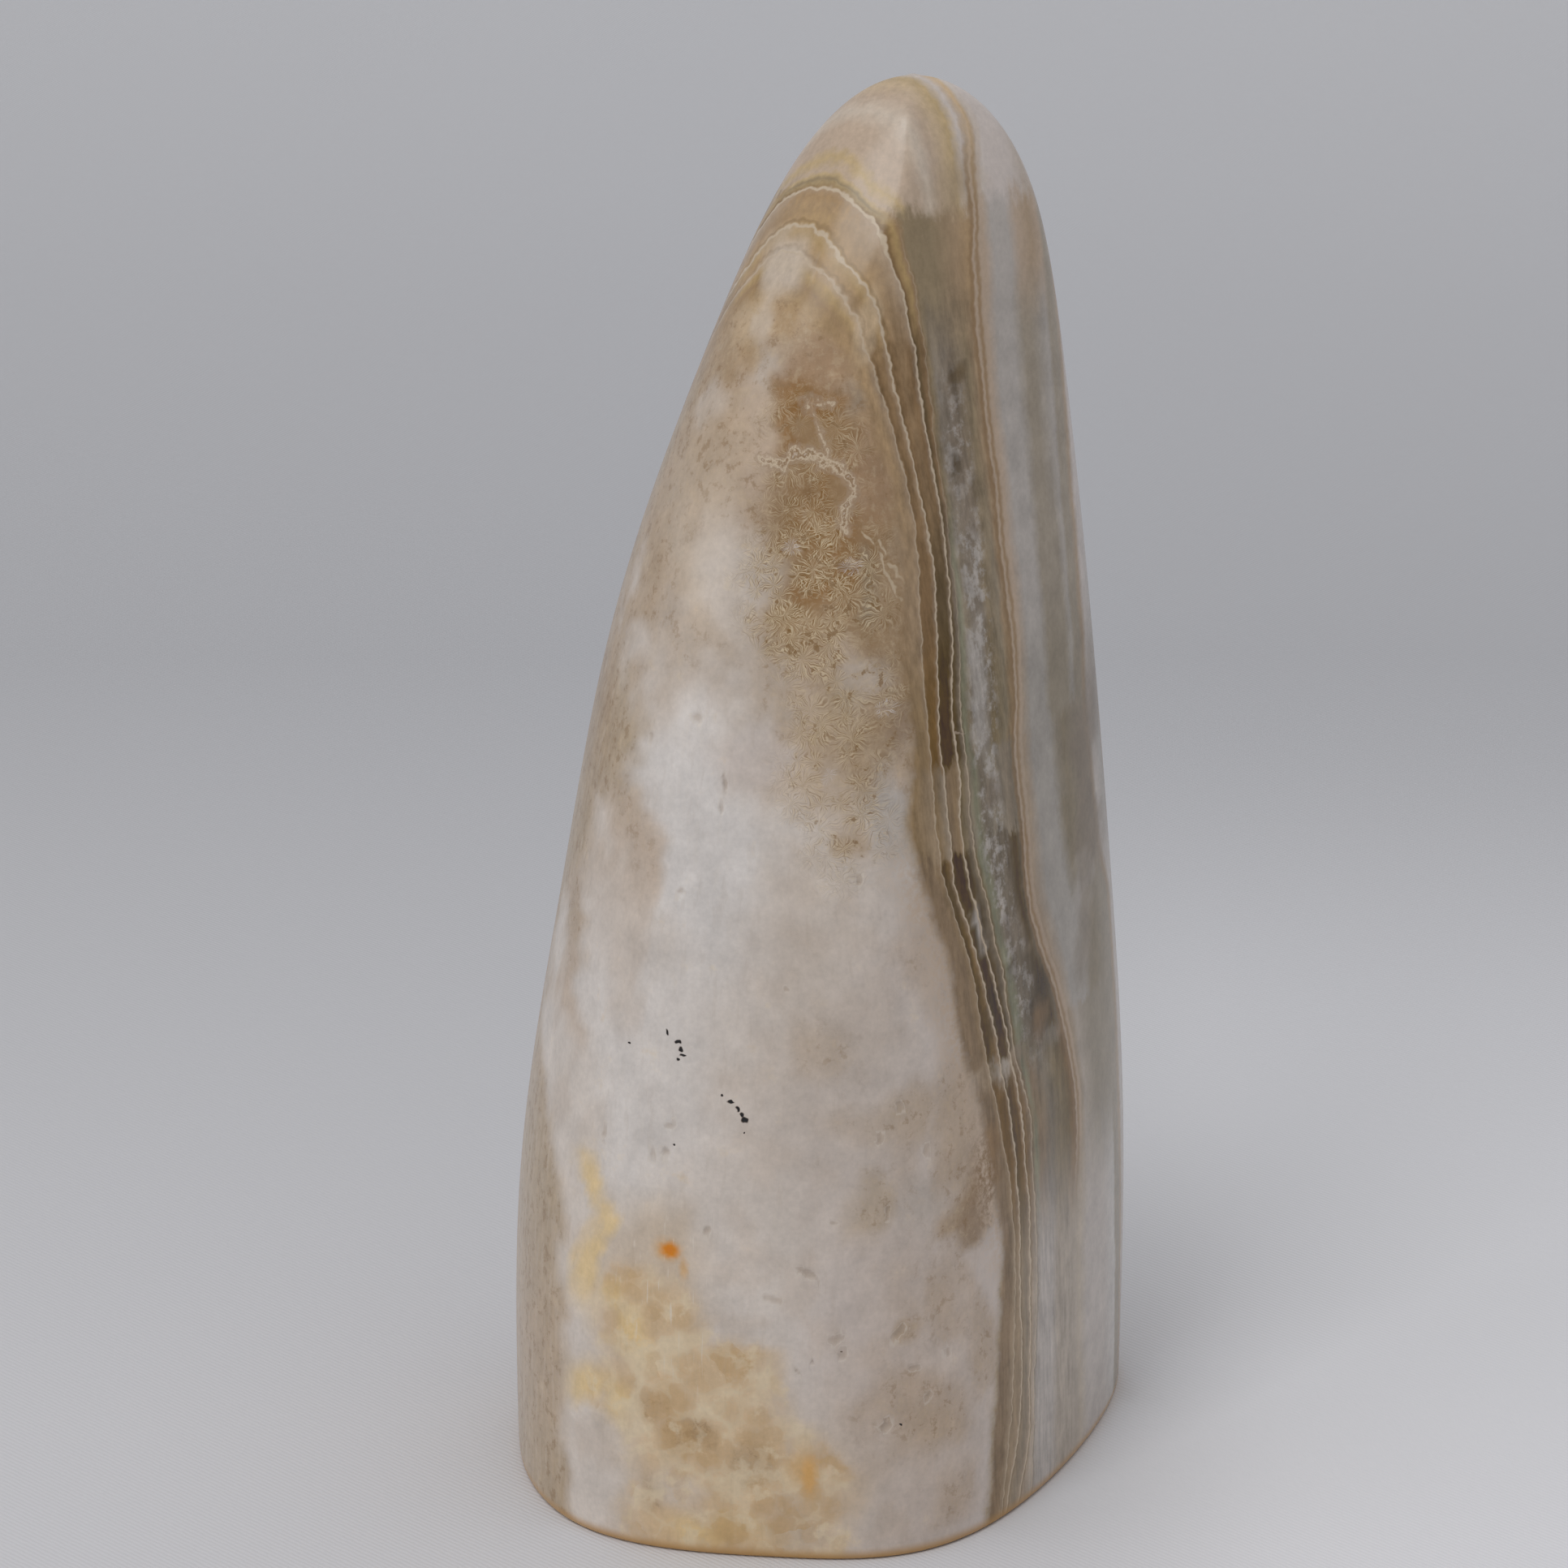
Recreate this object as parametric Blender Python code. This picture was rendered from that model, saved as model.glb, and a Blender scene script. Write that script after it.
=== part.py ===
"""A polished aragonite freeform: one standing piece of banded stone with a flat sawn foot.

The stone is lofted. Six level sections and the tip describe it; each section is a smooth
closed curve through eight turning points, named for where they lie as the stone is seen from
the front. Everything between the sections follows smooth curves through them.
Metres, +Z up, front facing -Y, origin on the foot at the middle of the stone's box.
"""
import math

import bmesh
import bpy
import numpy as np

MM = 0.001

# Driving dimensions, in millimetres.
HEIGHT = 124.0
TIP = (7.7, 6.0)             # where the rounded tip stands over the foot, x and y
FOOT_ARRIS = 0.5             # the narrow edge ground round the foot
COLUMNS = 72                 # points round each ring
RINGS = 50                   # rings from the foot to the tip

# The level sections, by height. A turning point's entry gives its x, y in each of them.
SECTION_HEIGHTS = (0.0, 25.0, 50.0, 75.0, 98.0, 114.0)
TURNING_POINTS = {
    "front": ((-4.0, -27.0), (-4.0, -27.0), (-3.5, -24.0), (-2.5, -18.6), (-0.2, -11.2), (4.0, -4.6)),
    "front_right_ridge": ((14.6, -20.8), (13.9, -19.6), (11.8, -18.0), (9.6, -14.2), (8.2, -8.0),
                          (8.8, -3.0)),
    "right": ((27.7, 10.4), (27.7, 11.0), (26.0, 10.5), (23.6, 9.5), (20.8, 8.5), (17.8, 7.0)),
    "back_right": ((20.0, 21.5), (20.0, 22.0), (19.0, 21.5), (17.5, 20.0), (16.0, 17.0), (14.0, 12.0)),
    "back": ((2.0, 26.6), (2.0, 27.0), (3.0, 26.4), (4.5, 24.6), (6.0, 21.4), (7.3, 17.0)),
    "back_left": ((-18.5, 20.0), (-18.0, 20.5), (-15.0, 20.5), (-10.5, 19.5), (-4.0, 17.0), (0.7, 12.0)),
    "left": ((-27.4, 1.0), (-27.1, 2.0), (-23.5, 2.5), (-18.7, 3.5), (-11.0, 4.5), (-4.0, 5.5)),
    "front_left_ridge": ((-21.6, -20.4), (-21.0, -20.2), (-18.0, -18.2), (-14.2, -14.4),
                         (-8.2, -8.4), (-1.4, -1.8)),
}


def cubic_through(places, values, wanted):
    """Values at the wanted places of the natural cubic curve through the given ones."""
    places = np.asarray(places, dtype=float)
    values = np.asarray(values, dtype=float)
    step = np.diff(places)
    slope = np.diff(values, axis=0) / step[:, None]
    count = len(places)
    system = np.eye(count)
    right_side = np.zeros_like(values)
    for i in range(1, count - 1):
        system[i, i - 1] = step[i - 1]
        system[i, i] = 2.0 * (step[i - 1] + step[i])
        system[i, i + 1] = step[i]
        right_side[i] = 6.0 * (slope[i] - slope[i - 1])
    bend = np.linalg.solve(system, right_side)
    span = np.clip(np.searchsorted(places, wanted, side="right") - 1, 0, count - 2)
    ahead = (np.asarray(wanted) - places[span])[:, None]
    left = (places[span + 1] - np.asarray(wanted))[:, None]
    width = step[span][:, None]
    start_bend = bend[span]
    end_bend = bend[span + 1]
    return (
        start_bend * left**3 / (6.0 * width)
        + end_bend * ahead**3 / (6.0 * width)
        + (values[span] / width - start_bend * width / 6.0) * left
        + (values[span + 1] / width - end_bend * width / 6.0) * ahead
    )


def closeness_to_foot(height):
    """0 at the foot and 1 at the tip. Equal steps make rings that close into a round dome."""
    return 1.0 - math.sqrt(max(0.0, 1.0 - height / HEIGHT))


def turning_points_at(heights):
    """The eight turning points at each height, as an array of heights by points by x, y."""
    places = [closeness_to_foot(h) for h in SECTION_HEIGHTS] + [1.0]
    wanted = [closeness_to_foot(h) for h in heights]
    tracks = [cubic_through(places, list(track) + [TIP], wanted) for track in TURNING_POINTS.values()]
    return np.stack(tracks, axis=1)


def ring_through(points):
    """A closed smooth ring of COLUMNS points through one section's turning points."""
    count = len(points)
    repeated = np.concatenate([points, points, points, points[:1]])
    places = np.arange(len(repeated), dtype=float)
    wanted = count + np.arange(COLUMNS) * count / COLUMNS
    return cubic_through(places, repeated, wanted)


def add_ring(bm, height, points):
    """One closed loop of edges through a section's turning points, at its height."""
    verts = [bm.verts.new((x * MM, y * MM, height * MM)) for x, y in ring_through(points)]
    return [bm.edges.new((verts[i - 1], verts[i])) for i in range(COLUMNS)]


def loft_stone():
    """Rings from the foot to the tip, skinned, with a flat foot below and a point at the tip."""
    quarter_turn = np.linspace(0.0, math.pi / 2.0, RINGS + 1)
    heights = (HEIGHT * np.sin(quarter_turn))[:-1]
    bm = bmesh.new()
    rings = [add_ring(bm, height, points) for height, points in zip(heights, turning_points_at(heights))]
    for lower, upper in zip(rings, rings[1:]):
        bmesh.ops.bridge_loops(bm, edges=lower + upper)
    foot = bmesh.ops.edgeloop_fill(bm, edges=rings[0])["faces"][0]
    cap = bmesh.ops.edgeloop_fill(bm, edges=rings[-1])["faces"]
    tip = bmesh.ops.poke(bm, faces=cap)["verts"][0]
    tip.co = (TIP[0] * MM, TIP[1] * MM, HEIGHT * MM)
    bmesh.ops.bevel(
        bm,
        geom=list(foot.edges),
        offset=FOOT_ARRIS * MM,
        segments=2,
        profile=0.5,
        affect="EDGES",
    )
    bmesh.ops.recalc_face_normals(bm, faces=bm.faces)
    centre_on_origin(bm)
    mesh = bpy.data.meshes.new("stone")
    bm.to_mesh(mesh)
    bm.free()
    return mesh


def centre_on_origin(bm):
    """Slide the stone level until the origin is under the middle of its box."""
    places = np.array([vert.co for vert in bm.verts])
    middle = (places.min(axis=0) + places.max(axis=0)) / 2.0
    bmesh.ops.translate(bm, verts=bm.verts, vec=(-middle[0], -middle[1], 0.0))


def polished_aragonite():
    material = bpy.data.materials.new("polished_aragonite")
    material.use_nodes = True
    shader = material.node_tree.nodes["Principled BSDF"]
    shader.inputs["Base Color"].default_value = (0.48, 0.43, 0.36, 1.0)
    shader.inputs["Roughness"].default_value = 0.22
    shader.inputs["Metallic"].default_value = 0.0
    return material


for old in list(bpy.data.objects):
    bpy.data.objects.remove(old, do_unlink=True)

stone = bpy.data.objects.new("stone", loft_stone())
stone.data.materials.append(polished_aragonite())
stone.data.shade_smooth()
stone.data.set_sharp_from_angle(angle=math.radians(35.0))
bpy.context.scene.collection.objects.link(stone)
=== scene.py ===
# %% [markdown]
# # A polished banded aragonite freeform
# A freeform is a piece of rough stone that is sawn flat below, ground into soft facets and
# polished, so its shape follows the rock. This lesson dresses the plain solid: first the camera,
# the light and the table, then a finer mesh of the stone, then its bands and colours, one
# finish at a time.

# %% Load the frame
import math
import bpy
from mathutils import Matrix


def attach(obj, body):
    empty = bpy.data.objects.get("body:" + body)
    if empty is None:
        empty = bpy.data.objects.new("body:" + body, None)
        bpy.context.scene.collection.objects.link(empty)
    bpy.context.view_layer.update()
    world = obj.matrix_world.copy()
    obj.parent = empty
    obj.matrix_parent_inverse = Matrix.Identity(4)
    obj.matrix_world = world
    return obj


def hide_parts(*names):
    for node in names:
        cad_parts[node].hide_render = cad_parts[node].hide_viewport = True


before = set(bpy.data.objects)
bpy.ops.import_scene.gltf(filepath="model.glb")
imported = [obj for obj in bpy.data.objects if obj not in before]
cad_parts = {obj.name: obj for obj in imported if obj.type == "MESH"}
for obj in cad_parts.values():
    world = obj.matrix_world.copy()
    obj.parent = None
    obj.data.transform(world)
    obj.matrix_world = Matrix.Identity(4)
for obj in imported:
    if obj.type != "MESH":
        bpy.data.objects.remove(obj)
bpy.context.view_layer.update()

from types import SimpleNamespace

import bmesh
import bpy
import numpy as np
from mathutils import Vector, noise
from mathutils.bvhtree import BVHTree

MM = 0.001

# %% [markdown]
# ## The camera
# The stone is seen from a little above, straight at its pale front face. A long lens keeps its
# sides from leaning in. The camera could be placed by hand, but it is easier to keep right when
# it is worked out from where it looks, how far off it stands and how high it is raised.

# %% Camera
LOOK_AT = Vector((-3.6, 0.4, 62.0)) * MM
CAMERA_DISTANCE = 520.0 * MM
CAMERA_RAISED = math.radians(18.0)
CAMERA_NEAR = 0.01
LENS = 135.65


def add_camera():
    data = bpy.data.cameras.new("camera")
    data.lens = LENS
    data.clip_start = CAMERA_NEAR
    camera = bpy.data.objects.new("camera", data)
    back = Vector((0.0, -math.cos(CAMERA_RAISED), math.sin(CAMERA_RAISED)))
    camera.location = LOOK_AT + back * CAMERA_DISTANCE
    camera.rotation_euler = (-back).to_track_quat("-Z", "Y").to_euler()
    bpy.context.scene.collection.objects.link(camera)
    bpy.context.scene.camera = camera
    return camera


camera = add_camera()
print("camera at", [round(v, 3) for v in camera.location])

# %% [markdown]
# ## The light
# Polished stone is shown best by a few large soft lights: each gives a broad pale gleam along
# the ridges. The key stands to the upper left, in front; the rest is an even grey sky.

# %% Lights and sky
# each light's place, its size across and up, and its power
LIGHTS = {
    "key_softbox": ((-0.28, -0.43, 0.83), (0.28, 0.60), 1.75),
    "side_window": ((-0.80, -0.34, 0.42), (0.60, 0.60), 0.88),
    "overhead_softbox": ((0.05, 0.10, 1.15), (1.1, 1.1), 1.32),
    "back_window": ((0.50, 0.80, 0.55), (0.5, 0.5), 0.25),
}
SKY_COLOUR = (0.96, 0.97, 1.0)
SKY_STRENGTH = 0.41


def add_area_light(name, place, size, power):
    data = bpy.data.lights.new(name, "AREA")
    data.shape = "RECTANGLE"
    data.size, data.size_y = size
    data.energy = power
    light = bpy.data.objects.new(name, data)
    light.location = place
    light.rotation_euler = (LOOK_AT - Vector(place)).to_track_quat("-Z", "Y").to_euler()
    bpy.context.scene.collection.objects.link(light)


def add_sky():
    world = bpy.data.worlds.new("studio_sky")
    world.use_nodes = True
    background = world.node_tree.nodes["Background"]
    background.inputs["Color"].default_value = (*SKY_COLOUR, 1.0)
    background.inputs["Strength"].default_value = SKY_STRENGTH
    bpy.context.scene.world = world


for name, (place, size, power) in LIGHTS.items():
    add_area_light(name, place, size, power)
add_sky()
bpy.context.scene.view_settings.view_transform = "Standard"
bpy.context.scene.view_settings.look = "None"
print("lights:", ", ".join(LIGHTS))

# %% [markdown]
# ## The palette
# The stone's colours could be written out wherever they are used, but the same few dozen come
# back in its clouds, bands and spots. So they are mixed once and named, as on a palette.

# %% Colours of the stone
COLOURS = {
    "chalk": (0.78, 0.73, 0.69), "milk": (0.72, 0.64, 0.59), "lilac": (0.575, 0.525, 0.48),
    "shell": (0.62, 0.53, 0.45), "wheat": (0.6, 0.47, 0.36), "sand": (0.53, 0.4, 0.28),
    "fawn": (0.44, 0.36, 0.28), "tan": (0.46, 0.33, 0.21), "gold": (0.52, 0.36, 0.21),
    "caramel": (0.4, 0.27, 0.155), "cocoa": (0.41, 0.3, 0.21), "brown": (0.32, 0.205, 0.11),
    "umber": (0.185, 0.13, 0.072), "olive": (0.36, 0.28, 0.18), "dark_olive": (0.27, 0.2, 0.12),
    "moss": (0.4, 0.33, 0.24), "slate": (0.34, 0.285, 0.225), "dusk": (0.28, 0.225, 0.17),
    "peach": (0.66, 0.51, 0.35), "honey": (0.78, 0.575, 0.35), "pearl": (0.69, 0.62, 0.575),
    "yellow": (0.87, 0.65, 0.34), "khaki": (0.5, 0.385, 0.26), "cream": (0.69, 0.585, 0.48),
    "haze": (0.76, 0.68, 0.61), "amber": (0.52, 0.365, 0.18), "sage": (0.385, 0.37, 0.265),
    "straw": (0.61, 0.46, 0.265), "russet": (0.35, 0.198, 0.088), "clay": (0.465, 0.315, 0.2),
    "ash": (0.45, 0.385, 0.305), "bark": (0.095, 0.07, 0.042),
}


def colour_of(tint):
    """A colour by its name on the palette, or a colour as it is."""
    return COLOURS[tint] if isinstance(tint, str) else tint


print("colours on the palette:", len(COLOURS))

# %% [markdown]
# ## A short way of writing nodes
# A stone like this needs some hundred nodes. Written out one by one they would hide the recipe,
# so a small class adds a node, feeds its inputs and hands back its output, a line at a time.

# %% Recipe
NOISE_MIDDLE = 0.5
# a noise seldom goes further than a third of its range from its middle
PUSH_GAIN = 3.0


class Recipe:
    """Adds nodes to one material, and links them as it goes."""

    def __init__(self, tree):
        self.tree = tree

    def node(self, kind, inputs=(), **settings):
        node = self.tree.nodes.new(kind)
        for name, value in settings.items():
            setattr(node, name, value)
        for key, value in dict(inputs).items():
            self.feed(node.inputs[key], value)
        return node

    def feed(self, socket, value):
        if isinstance(value, bpy.types.NodeSocket):
            self.tree.links.new(value, socket)
        elif socket.type == "RGBA" and len(value) == 3:
            socket.default_value = (*value, 1.0)
        else:
            socket.default_value = value

    def math(self, operation, a, b=0.0, clamp=False):
        return self.node("ShaderNodeMath", {0: a, 1: b}, operation=operation, use_clamp=clamp).outputs[0]

    def times(self, a, b, clamp=False):
        return self.math("MULTIPLY", a, b, clamp)

    def plus(self, a, b):
        return self.math("ADD", a, b)

    def minus(self, a, b, clamp=False):
        return self.math("SUBTRACT", a, b, clamp)

    def swing(self, noise, reach):
        """A noise made to swing about 0, by up to half the reach either way."""
        return self.times(self.minus(noise, NOISE_MIDDLE), reach)

    def vector(self, operation, *values):
        node = self.node("ShaderNodeVectorMath", enumerate(values), operation=operation)
        return node.outputs["Value" if operation in ("LENGTH", "DISTANCE", "DOT_PRODUCT") else "Vector"]

    def scaled(self, a, factor):
        return self.node("ShaderNodeVectorMath", {0: a, "Scale": factor}, operation="SCALE").outputs[0]

    def split(self, a):
        return self.node("ShaderNodeSeparateXYZ", {0: a}).outputs

    def attribute(self, name):
        return self.node("ShaderNodeAttribute", attribute_name=name).outputs

    def noise(self, place, size, detail=2.0, roughness=0.5, output="Fac"):
        inputs = {"Vector": place, "Scale": 1.0 / size, "Detail": detail, "Roughness": roughness}
        return self.node("ShaderNodeTexNoise", inputs).outputs[output]

    def wander(self, place, size, reach, detail):
        """Moves each point by up to about reach, smoothly over size."""
        push = self.vector("SUBTRACT", self.noise(place, size, detail, output="Color"), (NOISE_MIDDLE,) * 3)
        return self.vector("ADD", place, self.scaled(push, PUSH_GAIN * reach))

    def rise(self, value, start, end, top=1.0):
        """Goes smoothly from 0 at start to top at end."""
        inputs = {"Value": value, "From Min": start, "From Max": end, "To Max": top}
        return self.node("ShaderNodeMapRange", inputs, interpolation_type="SMOOTHSTEP").outputs[0]

    def between(self, value, start, end, soft):
        """1 between start and end, falling to 0 over soft outside them."""
        up = self.rise(value, start - soft, start + soft)
        return self.times(up, self.rise(value, end + soft, end - soft))

    def lay(self, under, mask, over, strength=None):
        """Lays a colour over what is there, where the mask is, as strongly as asked."""
        amount = mask if strength is None else self.times(mask, strength)
        inputs = {0: amount, 6: under, 7: colour_of(over)}
        return self.node("ShaderNodeMix", inputs, data_type="RGBA").outputs[2]

    def ramp(self, value, stops, low, high):
        """A colour ramp whose stops are placed between low and high."""
        place = self.node("ShaderNodeMapRange", {"Value": value, "From Min": low, "From Max": high})
        node = self.node("ShaderNodeValToRGB", {0: place.outputs[0]})
        elements = node.color_ramp.elements
        elements.remove(elements[-1])
        for index, (at, tint) in enumerate(stops):
            position = (at - low) / (high - low)
            element = elements[0] if index == 0 else elements.new(position)
            element.position = position
            element.color = (*colour_of(tint), 1.0)
        return node.outputs[0]

    def patch(self, place, centre, reach, softness=0.5, strength=1.0):
        """A soft-edged egg-shaped patch: strength inside, 0 outside."""
        shift = tuple(-c / v for c, v in zip(centre, reach))
        away = self.vector("MULTIPLY_ADD", place, tuple(1.0 / v for v in reach), shift)
        return self.rise(self.vector("LENGTH", away), 1.0 + softness, 1.0 - softness, strength)

    def path_distance(self, place, path):
        """How far each point is from a path of straight pieces."""
        nearest = None
        for start, end in zip(path, path[1:]):
            start, end = Vector(start), Vector(end)
            run = end - start
            step = run / run.length_squared
            along = self.vector("DOT_PRODUCT", place, tuple(step))
            along = self.minus(along, start.dot(step), clamp=True)
            foot = self.vector("MULTIPLY_ADD", tuple(run), along, tuple(start))
            away = self.vector("DISTANCE", place, foot)
            nearest = away if nearest is None else self.math("MINIMUM", nearest, away)
        return nearest

    def cells(self, place, size):
        """Random cells in a plane."""
        inputs = {"Vector": place, "Scale": 1.0 / size}
        return self.node("ShaderNodeTexVoronoi", inputs, voronoi_dimensions="2D").outputs

    def needles(self, face_place, centre, strands, shift):
        """Needles that fan out from a centre: a value over 0.5 on a needle."""
        away = self.split(self.vector("SUBTRACT", face_place, centre))
        turn = self.math("ARCTAN2", away["Y"], away["X"])
        inputs = {"Scale": 1.0, "Detail": 1.0, "W": self.plus(self.times(turn, strands), shift)}
        return self.node("ShaderNodeTexNoise", inputs, noise_dimensions="1D").outputs[0]


# %% [markdown]
# ## The table
# A pale cloth covers the table and rises behind it in a wide sweep, so no edge shows. Painted
# falloff darkens it a little towards the back, and a painted pool of light makes it brighter to the
# right of the stone, where some light comes through. Fine slanted ribs of twill are raised by a bump.

# %% Cloth
# painted light falloff: the cloth's colour by how far back it lies, and the last place that is read
CLOTH_FALLOFF_SHADES = ((0.0, (0.76, 0.755, 0.775)), (0.245, (0.59, 0.59, 0.61)), (0.7, (0.79, 0.79, 0.81)))
CLOTH_BACK = 0.7
# where the painted pool of light, for the light that comes through the stone, begins and is full: to the
# right, and coming nearer
PAINTED_GLOW_RIGHT = (0.012, 0.045)
PAINTED_GLOW_NEAR = (0.22, 0.05)
PAINTED_GLOW = 0.22
TWILL = {"Scale": 900.0, "Distortion": 1.5, "Detail": 1.0}
TWILL_HEIGHT = 0.0001
TWILL_STRENGTH = 0.25
CLOTH_ROUGHNESS = 0.95
CLOTH_SHINE = 0.1


def build_cloth():
    material = bpy.data.materials.new("pale_cloth")
    material.use_nodes = True
    r = Recipe(material.node_tree)
    shader = material.node_tree.nodes["Principled BSDF"]
    place = r.node("ShaderNodeTexCoord").outputs["Object"]
    where = r.split(place)
    # painted light: falloff darkens the cloth towards the back, and a pool of light brightens it to the right
    # of the stone
    shade = r.ramp(where["Y"], CLOTH_FALLOFF_SHADES, 0.0, CLOTH_BACK)
    painted_glow = {0: r.rise(where["X"], *PAINTED_GLOW_RIGHT, PAINTED_GLOW), 1: r.rise(where["Y"], *PAINTED_GLOW_NEAR), 2: 1.0}
    gain = r.node("ShaderNodeMath", painted_glow, operation="MULTIPLY_ADD").outputs[0]
    ribs = r.node("ShaderNodeTexWave", {"Vector": place, **TWILL}, bands_direction="DIAGONAL")
    raised = {"Height": ribs.outputs["Fac"], "Strength": TWILL_STRENGTH, "Distance": TWILL_HEIGHT}
    r.feed(shader.inputs["Base Color"], r.scaled(shade, gain))
    r.feed(shader.inputs["Normal"], r.node("ShaderNodeBump", raised).outputs[0])
    r.feed(shader.inputs["Roughness"], CLOTH_ROUGHNESS)
    r.feed(shader.inputs["Specular IOR Level"], CLOTH_SHINE)
    return material


# %% Table
FLOOR_WIDTH = 4.0
FLOOR_FRONT = -1.2
FLOOR_BACK = 0.45
SWEEP_RADIUS = 0.6
SWEEP_TOP = 1.6
SWEEP_STEPS = 24


def add_table():
    bm = bmesh.new()
    left = -FLOOR_WIDTH / 2
    line = [bm.verts.new((left, FLOOR_FRONT, 0.0))]
    for step in range(SWEEP_STEPS + 1):
        turn = math.pi / 2 * step / SWEEP_STEPS
        back = FLOOR_BACK + SWEEP_RADIUS * math.sin(turn)
        line.append(bm.verts.new((left, back, SWEEP_RADIUS * (1.0 - math.cos(turn)))))
    line.append(bm.verts.new((left, FLOOR_BACK + SWEEP_RADIUS, SWEEP_TOP)))
    edges = [bm.edges.new(pair) for pair in zip(line, line[1:])]
    widened = bmesh.ops.extrude_edge_only(bm, edges=edges)["geom"]
    verts = [g for g in widened if isinstance(g, bmesh.types.BMVert)]
    bmesh.ops.translate(bm, verts=verts, vec=(FLOOR_WIDTH, 0.0, 0.0))
    bmesh.ops.recalc_face_normals(bm, faces=bm.faces)
    mesh = bpy.data.meshes.new("floor")
    bm.to_mesh(mesh)
    bm.free()
    mesh.shade_smooth()
    floor = bpy.data.objects.new("floor", mesh)
    bpy.context.scene.collection.objects.link(floor)
    mesh.materials.append(build_cloth())
    return floor


floor = add_table()
print("table:", len(floor.data.polygons), "faces")

# %% [markdown]
# ## The stone's mesh
# The plain solid is a closed skin of level rings. Its shape is right, but its facets would show
# in the polish. A copy is merged and subdivided, so that the gleams run smoothly over the ridges.

# %% Finer stone
FINE_LEVELS = 2
MERGE_REACH = 1e-6
# triangles are joined in pairs when they are this flat to each other and this near to square
JOIN_FLAT = math.radians(20)
JOIN_SQUARE = math.radians(60)


def finer_stone():
    source = bpy.data.objects["stone"].data
    bm = bmesh.new()
    bm.from_mesh(source)
    bmesh.ops.remove_doubles(bm, verts=bm.verts, dist=MERGE_REACH)
    bmesh.ops.join_triangles(
        bm, faces=bm.faces, angle_face_threshold=JOIN_FLAT, angle_shape_threshold=JOIN_SQUARE
    )
    print("stone cage:", len(bm.verts), "vertices", len(bm.faces), "faces")
    cage = bpy.data.meshes.new("stone_cage")
    bm.to_mesh(cage)
    bm.free()
    piece = bpy.data.objects.new("polished_stone", cage)
    bpy.context.scene.collection.objects.link(piece)
    subsurf = piece.modifiers.new("fine", "SUBSURF")
    subsurf.levels = FINE_LEVELS
    subsurf.render_levels = FINE_LEVELS
    fine = piece.evaluated_get(bpy.context.evaluated_depsgraph_get())
    mesh = bpy.data.meshes.new_from_object(fine)
    piece.modifiers.clear()
    piece.data = mesh
    mesh.name = "polished_stone"
    mesh.shade_smooth()
    print("fine stone:", len(mesh.vertices), "vertices")
    return piece


piece = finer_stone()

# %% [markdown]
# ## The facet at the tip
# The grinder left one flat wedge on the ridge near the tip, which gleams as a whole. A flat wheel
# does just this: whatever stands beyond its plane is pushed back onto it. The plane is found from
# the wedge's own corners, which lie on the skin.

# %% Ground facet
WEDGE_CORNERS = (
    (6.7, 1.1, 121.9), (7.0, -2.3, 117.8), (5.8, -4.7, 113.8), (5.2, -5.9, 111.3),
    (3.7, 0.2, 119.9), (2.1, -1.8, 116.9), (0.8, -2.8, 114.8), (0.3, -3.7, 113.2),
)
# in mm: how softly the facet meets the skin, how far outside the corners it lies, and its reach
FACET_ROUND = 0.2
FACET_SHALLOW = 0.10
FACET_REACH = 14.0


def read_points(mesh):
    """The mesh's points in millimetres, one row each."""
    points = np.empty(len(mesh.vertices) * 3)
    mesh.vertices.foreach_get("co", points)
    return points.reshape(-1, 3) / MM


def write_points(mesh, points):
    mesh.vertices.foreach_set("co", (points * MM).ravel())
    mesh.update()


def grind_facet(mesh, corners):
    corners = np.array(corners)
    middle = corners.mean(axis=0)
    normal = np.linalg.svd(corners - middle)[2][2]
    normal *= -math.copysign(1.0, normal[1])
    points = read_points(mesh)
    beyond = (points - middle) @ normal - FACET_SHALLOW
    taken = np.logaddexp(0.0, beyond / FACET_ROUND) * FACET_ROUND
    near = np.linalg.norm(points - middle, axis=1) < FACET_REACH
    taken[~near] = 0.0
    write_points(mesh, points - taken[:, None] * normal)
    print("facet normal:", normal.round(2), "deepest cut:", round(taken.max(), 2), "mm")


grind_facet(piece.data, WEDGE_CORNERS)

# %% [markdown]
# ## Pits
# Small holes are left where crystals did not close up or a grain broke out. They are real hollows
# with a rim that catches the light, so they are pressed into the mesh: first the faces round a pit
# are divided finely, then their points are pushed in by a ragged egg-shaped bowl.

# %% Pits
PIT_DEPTH = 0.6
# how far round a pit the faces are divided, and how finely
PIT_ROUND = 1.5
PIT_MARGIN = 0.3
PIT_CUTS = 3
# a pit's floor is flat up to here, and its wall this wide, as shares of its reach
PIT_FLOOR = 0.35
PIT_WALL = 0.85
# how ragged its outline is, and the noise that does it
PIT_RAGGED = 0.45
RAGGED_SCALE = 2.2
RAGGED_NOISE = (0.7, 2.2, 3)
# the rays that find a place on the front start this far out, in mm
RAY_START = -100.0
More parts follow.
